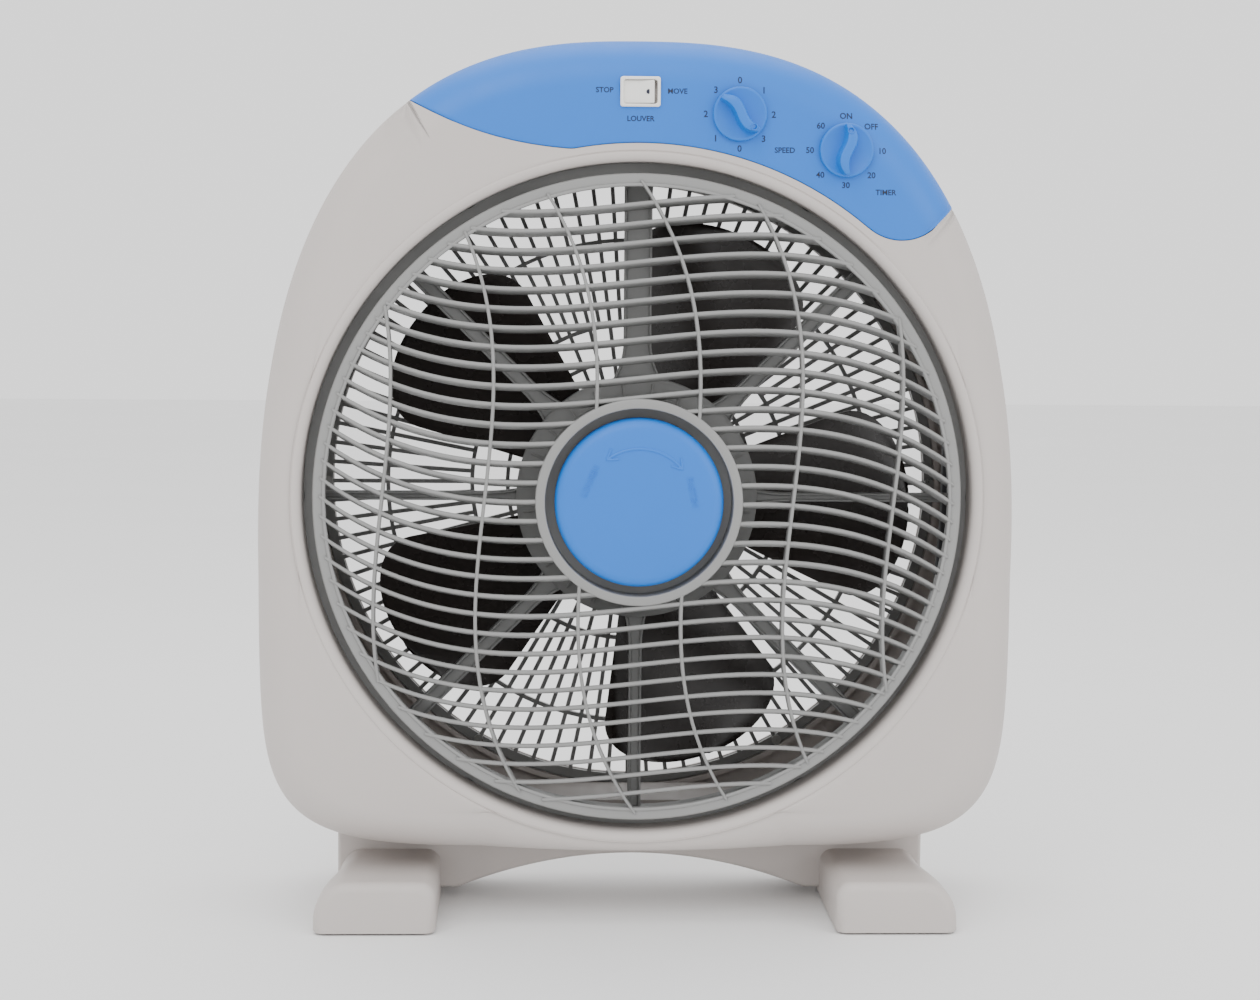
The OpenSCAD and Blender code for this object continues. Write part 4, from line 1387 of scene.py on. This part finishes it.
@dataclass(frozen=True)
class CentreCap:
    """Blue cap in the middle, with a raised arc arrow and two words."""

    radius: float = 48.0
    front: float = -87.0
    bow: float = 560.0
    edge: float = 5.5
    mark_r: float = 31.0
    arrow: Pair = (126.0, 40.0)
    words: tuple[tuple[str, float], ...] = (("LOOSEN", 156.0), ("FASTEN", 12.0))

    def dome(self, x: np.ndarray, z: np.ndarray) -> np.ndarray:
        """y of the cap's face, a shallow bowl: front + (distance from the axis)^2 / bow.

        Args:
            x: millimetres right.
            z: millimetres up.

        Returns:
            y in millimetres.
        """
        return self.front + (x * x + (z - RING_Z) ** 2) / self.bow

    def _ridge(self, path: np.ndarray, half: float) -> Shape:
        """Makes a raised line along a path on the dome.

        Args:
            path: array (n, 2) of x and z.
            half: half width.

        Returns:
            The closed shape.
        """
        tangent = np.gradient(path, axis=0)
        tangent /= np.linalg.norm(tangent, axis=1, keepdims=True)
        normal = np.stack([-tangent[:, 1], tangent[:, 0]], axis=-1)
        section = np.array([[-1, 0.3], [-0.8, -0.4], [-0.3, -0.6], [0.3, -0.6], [0.8, -0.4], [1, 0.3]])
        flat = path[:, None] + normal[:, None] * (section[None, :, :1] * half)
        y = self.dome(flat[..., 0], flat[..., 1]) + section[None, :, 1]
        return Shape().grid(np.stack([flat[..., 0], y, flat[..., 1]], axis=-1), wrap_cols=True, cap=True)

    def build(self) -> bpy.types.Object:
        """Makes the cap.

        Returns:
            The placed piece.
        """
        flat_r, e = self.radius - self.edge, self.edge
        face = [[r, self.front + r * r / self.bow] for r in np.linspace(0.01, flat_r, 22)]
        edge_y = face[-1][1]
        side = [[flat_r + e * math.sin(a), edge_y + 0.9 * math.sin(a) + 4.4 * (1 - math.cos(a))]
                for a in np.radians(np.linspace(12, 90, 9))]
        profile = face + side + [[self.radius, -70], [self.radius - 2.2, -70], [self.radius - 2.2, -79], [37, -82.5],
                                 [14, -84.0], [14, -66.3], [9.1, -66.3], [9.1, -81.5], [0.01, -81.5]]
        shape = revolve(profile, 160)
        shape.add(self._ridge(np.array(arc_points(0, RING_Z, self.mark_r, *self.arrow, 60)), 0.8))
        for end, turn in zip(self.arrow, (1, -1)):
            a = math.radians(end)
            tip = np.array([self.mark_r * math.cos(a), RING_Z + self.mark_r * math.sin(a)])
            along = np.array([-math.sin(a), math.cos(a)]) * turn
            out = np.array([math.cos(a), math.sin(a)])
            for s in (-1, 1):
                tail = tip - along * 5.0 + out * s * 3.6
                shape.add(self._ridge(np.linspace(tail, tip + along * 0.6, 8), 0.7))
        for word, angle in self.words:
            at = arc_points(0, RING_Z, self.mark_r, angle, angle, 1)[0]
            shape.add(text_mesh(word, 3.6, at, self.dome, 0.42, angle - 90.0, 0.05))
        return place(shape.build("cap_look", MATERIALS[Slot.PANEL], 30), Body.CAP, Slot.PANEL, "clamp_cap")


@dataclass(frozen=True)
class Knob:
    """Round knob with a waved grip right across it.

    Along the grip, t runs from -1 to 1. Its middle line is 2.2 sin(pi t), its half width is
    3.7 sqrt(1 - 0.86 t^2), and its height falls towards the ends by 0.28 t^4 of itself.
    """

    name: str
    at: Pair
    turn: float
    body: Body
    radius: float = 15.3
    base: float = -66.7
    face: float = -69.6
    top: float = -79.0

    def build(self) -> bpy.types.Object:
        """Makes the knob.

        Returns:
            The placed piece.
        """
        r = self.radius
        shape = revolve([[0.01, self.base], [r - 0.3, self.base], [r, self.base - 0.4], [r, self.face + 1.0],
                         *arc_points(r - 1.0, self.face + 1.0, 1.0, 0, -90, 5), [r - 1.6, self.face],
                         [r - 2.2, self.face + 0.3], [0.01, self.face + 0.1]], 96, (0, 0))
        t = np.linspace(-0.985, 0.985, 41)
        half = 3.7 * np.sqrt(1 - 0.86 * t * t)
        mid = 2.2 * np.sin(np.pi * t)
        rise = (self.face - self.top) * (1 - 0.28 * t ** 4)
        section = [(-1.12, 0.0), (-1.0, 0.25), (-0.86, 0.86), (-0.74, 0.97), (-0.5, 1.0),
                   (0.5, 1.0), (0.74, 0.97), (0.86, 0.86), (1.0, 0.25), (1.12, 0.0)]
        side, up = np.array(section).T
        across = side[None, :] * half[:, None] + mid[:, None]
        depth = self.face + 0.3 - up[None, :] * (rise[:, None] + 0.3)
        along = np.broadcast_to((t * (r - 1.0))[:, None], across.shape)
        shape.grid(np.stack([across, depth, along], axis=-1), wrap_cols=True, cap=True)
        dot, top = len(t) - 4, self.top
        shape.add(revolve([[0.01, top + 1.3], [1.5, top + 1.3], [1.5, top], [1.9, top - 0.1], [2.1, top + 0.6],
                           [0.01, top + 2.0]], 32, (mid[dot], t[dot] * (r - 2.6))))
        a = math.radians(self.turn)
        spin = np.array([[math.cos(a), 0, math.sin(a)], [0, 1, 0], [-math.sin(a), 0, math.cos(a)]])
        shape.points = [p @ spin.T + np.array([self.at[0], 0, self.at[1]]) for p in shape.points]
        piece = shape.build(f"{self.name}_look", MATERIALS[Slot.PANEL], 35)
        return place(piece, self.body, Slot.PANEL, self.name)


@dataclass(frozen=True)
class RockerSwitch:
    """White rocker in a framed opening, tilted so that one side is pressed in."""

    at: Pair = ROCKER_AT
    tilt: float = 11.0
    half: Pair = (11.4, 8.5)
    pivot_y: float = -61.0
    reach: float = 9.0
    dot_x: float = 4.6

    def _frame(self) -> Shape:
        """Makes the frame and its sleeve as rounded rings that grow and shrink with y.

        Returns:
            The closed shape.
        """
        (x, z), (half_x, half_z) = self.at, self.half
        rings = []
        for grow, y in ((0.0, -65.4), (0.0, -67.0), (-0.5, -67.6), (-1.2, -67.7), (-1.7, -67.4), (-1.8, -64.0),
                        (-1.8, -46.0), (-0.8, -46.0), (-0.8, -65.4)):
            w, h = half_x + grow, half_z + grow
            ring = rounded_box(x - w, x + w, z - h, z + h, 1.6)
            rings.append(np.stack([ring[:, 0], np.full(len(ring), y), ring[:, 1]], axis=-1))
        return Shape().grid(np.stack(rings), wrap_rows=True, wrap_cols=True)

    def build(self, dot: bpy.types.Material) -> None:
        """Makes the frame, the rocker and its dot.

        The rocker's front is -4.4 - h sqrt(t^2 + 0.02), a soft V whose sides rise by h over the reach.

        Args:
            dot: ink of the dot.
        """
        x, z = self.at
        frame_piece = self._frame().build("rocker_frame", MATERIALS[Slot.WHITE], 30)
        place(frame_piece, Body.HOUSING, Slot.WHITE, "rocker_body")
        reach = self.reach
        rise = reach * math.tan(math.radians(self.tilt))
        t = np.linspace(-1, 1, 31)
        front = np.stack([t * reach, -4.4 - rise * np.sqrt(t * t + 0.02) + 0.05], axis=-1)
        back = np.array([[reach - 0.4, 0], [3, 3], [-3, 3], [-reach + 0.4, 0]])
        a = math.radians(-self.tilt)
        turn = np.array([[math.cos(a), -math.sin(a)], [math.sin(a), math.cos(a)]])
        turned = np.concatenate([front, back]) @ turn.T
        rows = []
        for dz, pull in ((-6.4, 0.92), (-6.1, 0.99), (-5.7, 1.0), (5.7, 1.0), (6.1, 0.99), (6.4, 0.92)):
            rows.append(np.stack([x + turned[:, 0] * (0.5 + pull / 2), self.pivot_y + turned[:, 1] * pull,
                                  np.full(len(turned), z + dz)], axis=-1))
        button = Shape().grid(np.stack(rows), wrap_cols=True, cap=True)
        place(button.build("rocker_look", MATERIALS[Slot.WHITE], 30), Body.ROCKER, Slot.WHITE, "rocker_button")
        nearest = np.argmin(np.abs(turned[:len(t), 0] - self.dot_x))
        top = self.pivot_y + turned[nearest, 1]
        spot = revolve([[0.01, top - 0.12], [1.35, top - 0.08], [1.35, top + 0.8], [0.01, top + 0.5]], 24,
                       (x + self.dot_x, z))
        place(spot.build("rocker_dot", dot), Body.ROCKER, Slot.WHITE, "rocker_button")


@dataclass(frozen=True)
class PanelMarks:
    """Printed numbers and plain function words round the controls."""

    form: FrontForm = FrontForm()
    speeds: tuple[str, ...] = ("0", "1", "2", "3", "0", "1", "2", "3")
    minutes: tuple[str, ...] = ("ON", "OFF", "10", "20", "30", "40", "50", "60")

    def build(self, ink: bpy.types.Material, speed: Sequence[float], timer: Sequence[float]) -> bpy.types.Object:
        """Makes the marks, with those of a dial at equal angles clockwise from the top.

        Args:
            ink: their material.
            speed: x and z of the speed knob.
            timer: x and z of the timer knob.

        Returns:
            The placed piece.
        """
        marks: list[tuple[str, float, float, float]] = []
        dials = ((self.speeds, speed, 19.3, 19.3, 3.7), (self.minutes, timer, 20.7, 19.6, 3.4))
        for words, (x, z), wide, high, size in dials:
            for word, a in zip(words, np.radians(np.arange(0, 360, 45))):
                marks.append((word, x + wide * math.sin(a), z + high * math.cos(a), size))
        marks += [("SPEED", speed[0] + 25.8, speed[1] - 20.0, 3.1), ("TIMER", timer[0] + 23.0, timer[1] - 23.5, 3.1),
                  ("STOP", -20.9, 481.0, 3.0), ("MOVE", 20.4, 480.6, 3.0), ("LOUVER", -0.4, 465.0, 3.0)]
        shape = Shape()
        for word, x, z, size in marks:
            shape.add(text_mesh(word, size, (x, z), self.form.height, 0.06, bold=0.09))
        piece = shape.build("panel_marks", ink)
        return place(piece, Body.HOUSING, Slot.PANEL, "control_panel")


# ---------------------------------------------------------------- inside and studio


def finish_cad_nodes() -> None:
    """Gives every CAD node that stays in view its procedural material."""
    groups = {
        Slot.GRILLE: ("rear_grille", "louvre_drive_hub"),
        Slot.STEEL: ("housing_screws", "bracket_screws", "grille_screws", "motor_screws", "panel_screws",
                     "foot_screws", "louvre_motor_screws", "motor_shaft", "blade_pin", "louvre_output_shaft",
                     "clamp_washer", "speed_spindle", "timer_spindle"),
        Slot.SHIELD: ("motor_front_shield", "motor_rear_shield", "motor_plate"),
        Slot.LAMINATION: ("stator_core", "motor_rotor"),
        Slot.COPPER: ("stator_windings",),
        Slot.BRONZE: ("front_bearing", "rear_bearing"),
        Slot.BLADE: ("blade_nut",),
        Slot.DARK: ("run_capacitor", "louvre_motor", "speed_switch", "timer_body", "cable_gland"),
        Slot.RUBBER: ("foot_pads",),
        Slot.LEAD: ("wiring_loom",),
    }
    for slot, names in groups.items():
        for name in names:
            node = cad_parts[name]
            node.data.materials.clear()
            node.data.materials.append(MATERIALS[slot])


@dataclass(frozen=True)
class Studio:
    """Plain pale floor, soft lights and the camera."""

    distance: float = 1507.0
    azimuth: float = -2.2
    elevation: float = 5.0
    roll: float = 0.45
    aim: Triple = (-4.6, -62.0, 248.0)
    lens: float = 75.0
    floor_half: float = 6000.0
    daylight: float = 1.5
    lights: tuple[tuple[str, Triple, float, float], ...] = (
        ("key", (-0.7, -1.9, 1.9), 1.6, 20.0), ("fill", (1.5, -1.5, 1.0), 1.4, 9.0),
        ("top", (0.0, 0.2, 1.9), 1.5, 12.0))

    def build(self) -> None:
        """Makes floor, lights, world and camera."""
        ring = np.array([[1, -1], [1, 1], [-1, 1], [-1, -1]]) * self.floor_half
        shape = Shape([np.stack([ring[:, 0], ring[:, 1], np.zeros(4)], axis=-1)], [[0, 1, 2, 3]], 4)
        floor = shape.build("floor", self._floor_material())
        world = bpy.data.worlds.new("studio")
        world.use_nodes = True
        sky = world.node_tree.nodes["Background"]
        sky.inputs["Color"].default_value = (1, 1, 1, 1)
        sky.inputs["Strength"].default_value = self.daylight
        bpy.context.scene.world = world
        for light in self.lights:
            self._area(*light)
        self._camera()

    def _floor_material(self) -> bpy.types.Material:
        """Makes the floor's pale paint.

        Returns:
            The material.
        """
        b = NodeBuilder("studio_floor")
        b.link(b.mix(b.noise(3.0), (0.86, 0.86, 0.86), (0.9, 0.9, 0.9)), b.shader.inputs["Base Color"])
        b.shader.inputs["Roughness"].default_value = 0.6
        return b.material

    def _area(self, name: str, at: Sequence[float], size: float, power: float) -> None:
        """Adds a square light aimed at the middle of the fan.

        Args:
            name: its name.
            at: place in metres.
            size: side in metres.
            power: watts.
        """
        light = bpy.data.lights.new(name, "AREA")
        light.size = size
        light.energy = power
        lamp = bpy.data.objects.new(name, light)
        lamp.location = at
        lamp.rotation_euler = (Vector((0, 0, 0.25)) - Vector(at)).to_track_quat("-Z", "Y").to_euler()
        bpy.context.scene.collection.objects.link(lamp)

    def _camera(self) -> None:
        """Adds the camera and makes it the scene's."""
        data = bpy.data.cameras.new("camera")
        data.lens = self.lens
        data.sensor_width = 36.0
        camera = bpy.data.objects.new("camera", data)
        a, e = math.radians(self.azimuth), math.radians(self.elevation)
        back = Vector((math.sin(a) * math.cos(e), -math.cos(a) * math.cos(e), math.sin(e)))
        camera.location = Vector(self.aim) * MM + back * self.distance * MM
        look = (-back).to_track_quat("-Z", "Y")
        camera.rotation_mode = "QUATERNION"
        camera.rotation_quaternion = look @ Matrix.Rotation(math.radians(self.roll), 4, "Z").to_quaternion()
        bpy.context.scene.collection.objects.link(camera)
        bpy.context.scene.camera = camera


def main() -> None:
    """Builds every piece in order."""
    logging.basicConfig(level=logging.INFO, format="%(name)s %(message)s")
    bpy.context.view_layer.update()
    for finish in FINISHES:
        MATERIALS[finish.slot] = finish.material()
    finish_cad_nodes()
    ink = ink_material("ink_navy", (14, 20, 42))
    FrontShell().build()
    ControlPanel().build(ROCKER_AT, (SPEED_AT, TIMER_AT))
    RearShell().build()
    Base().build()
    FrontBracket().build()
    FanBlades().build()
    LouvreGrille().build()
    CentreCap().build()
    Knob("speed_knob", SPEED_AT, 131.0, Body.SPEED).build()
    Knob("timer_knob", TIMER_AT, 0.0, Body.TIMER).build()
    RockerSwitch().build(ink)
    PanelMarks().build(ink, SPEED_AT, TIMER_AT)
    Studio().build()


if __name__ == "__main__":
    main()
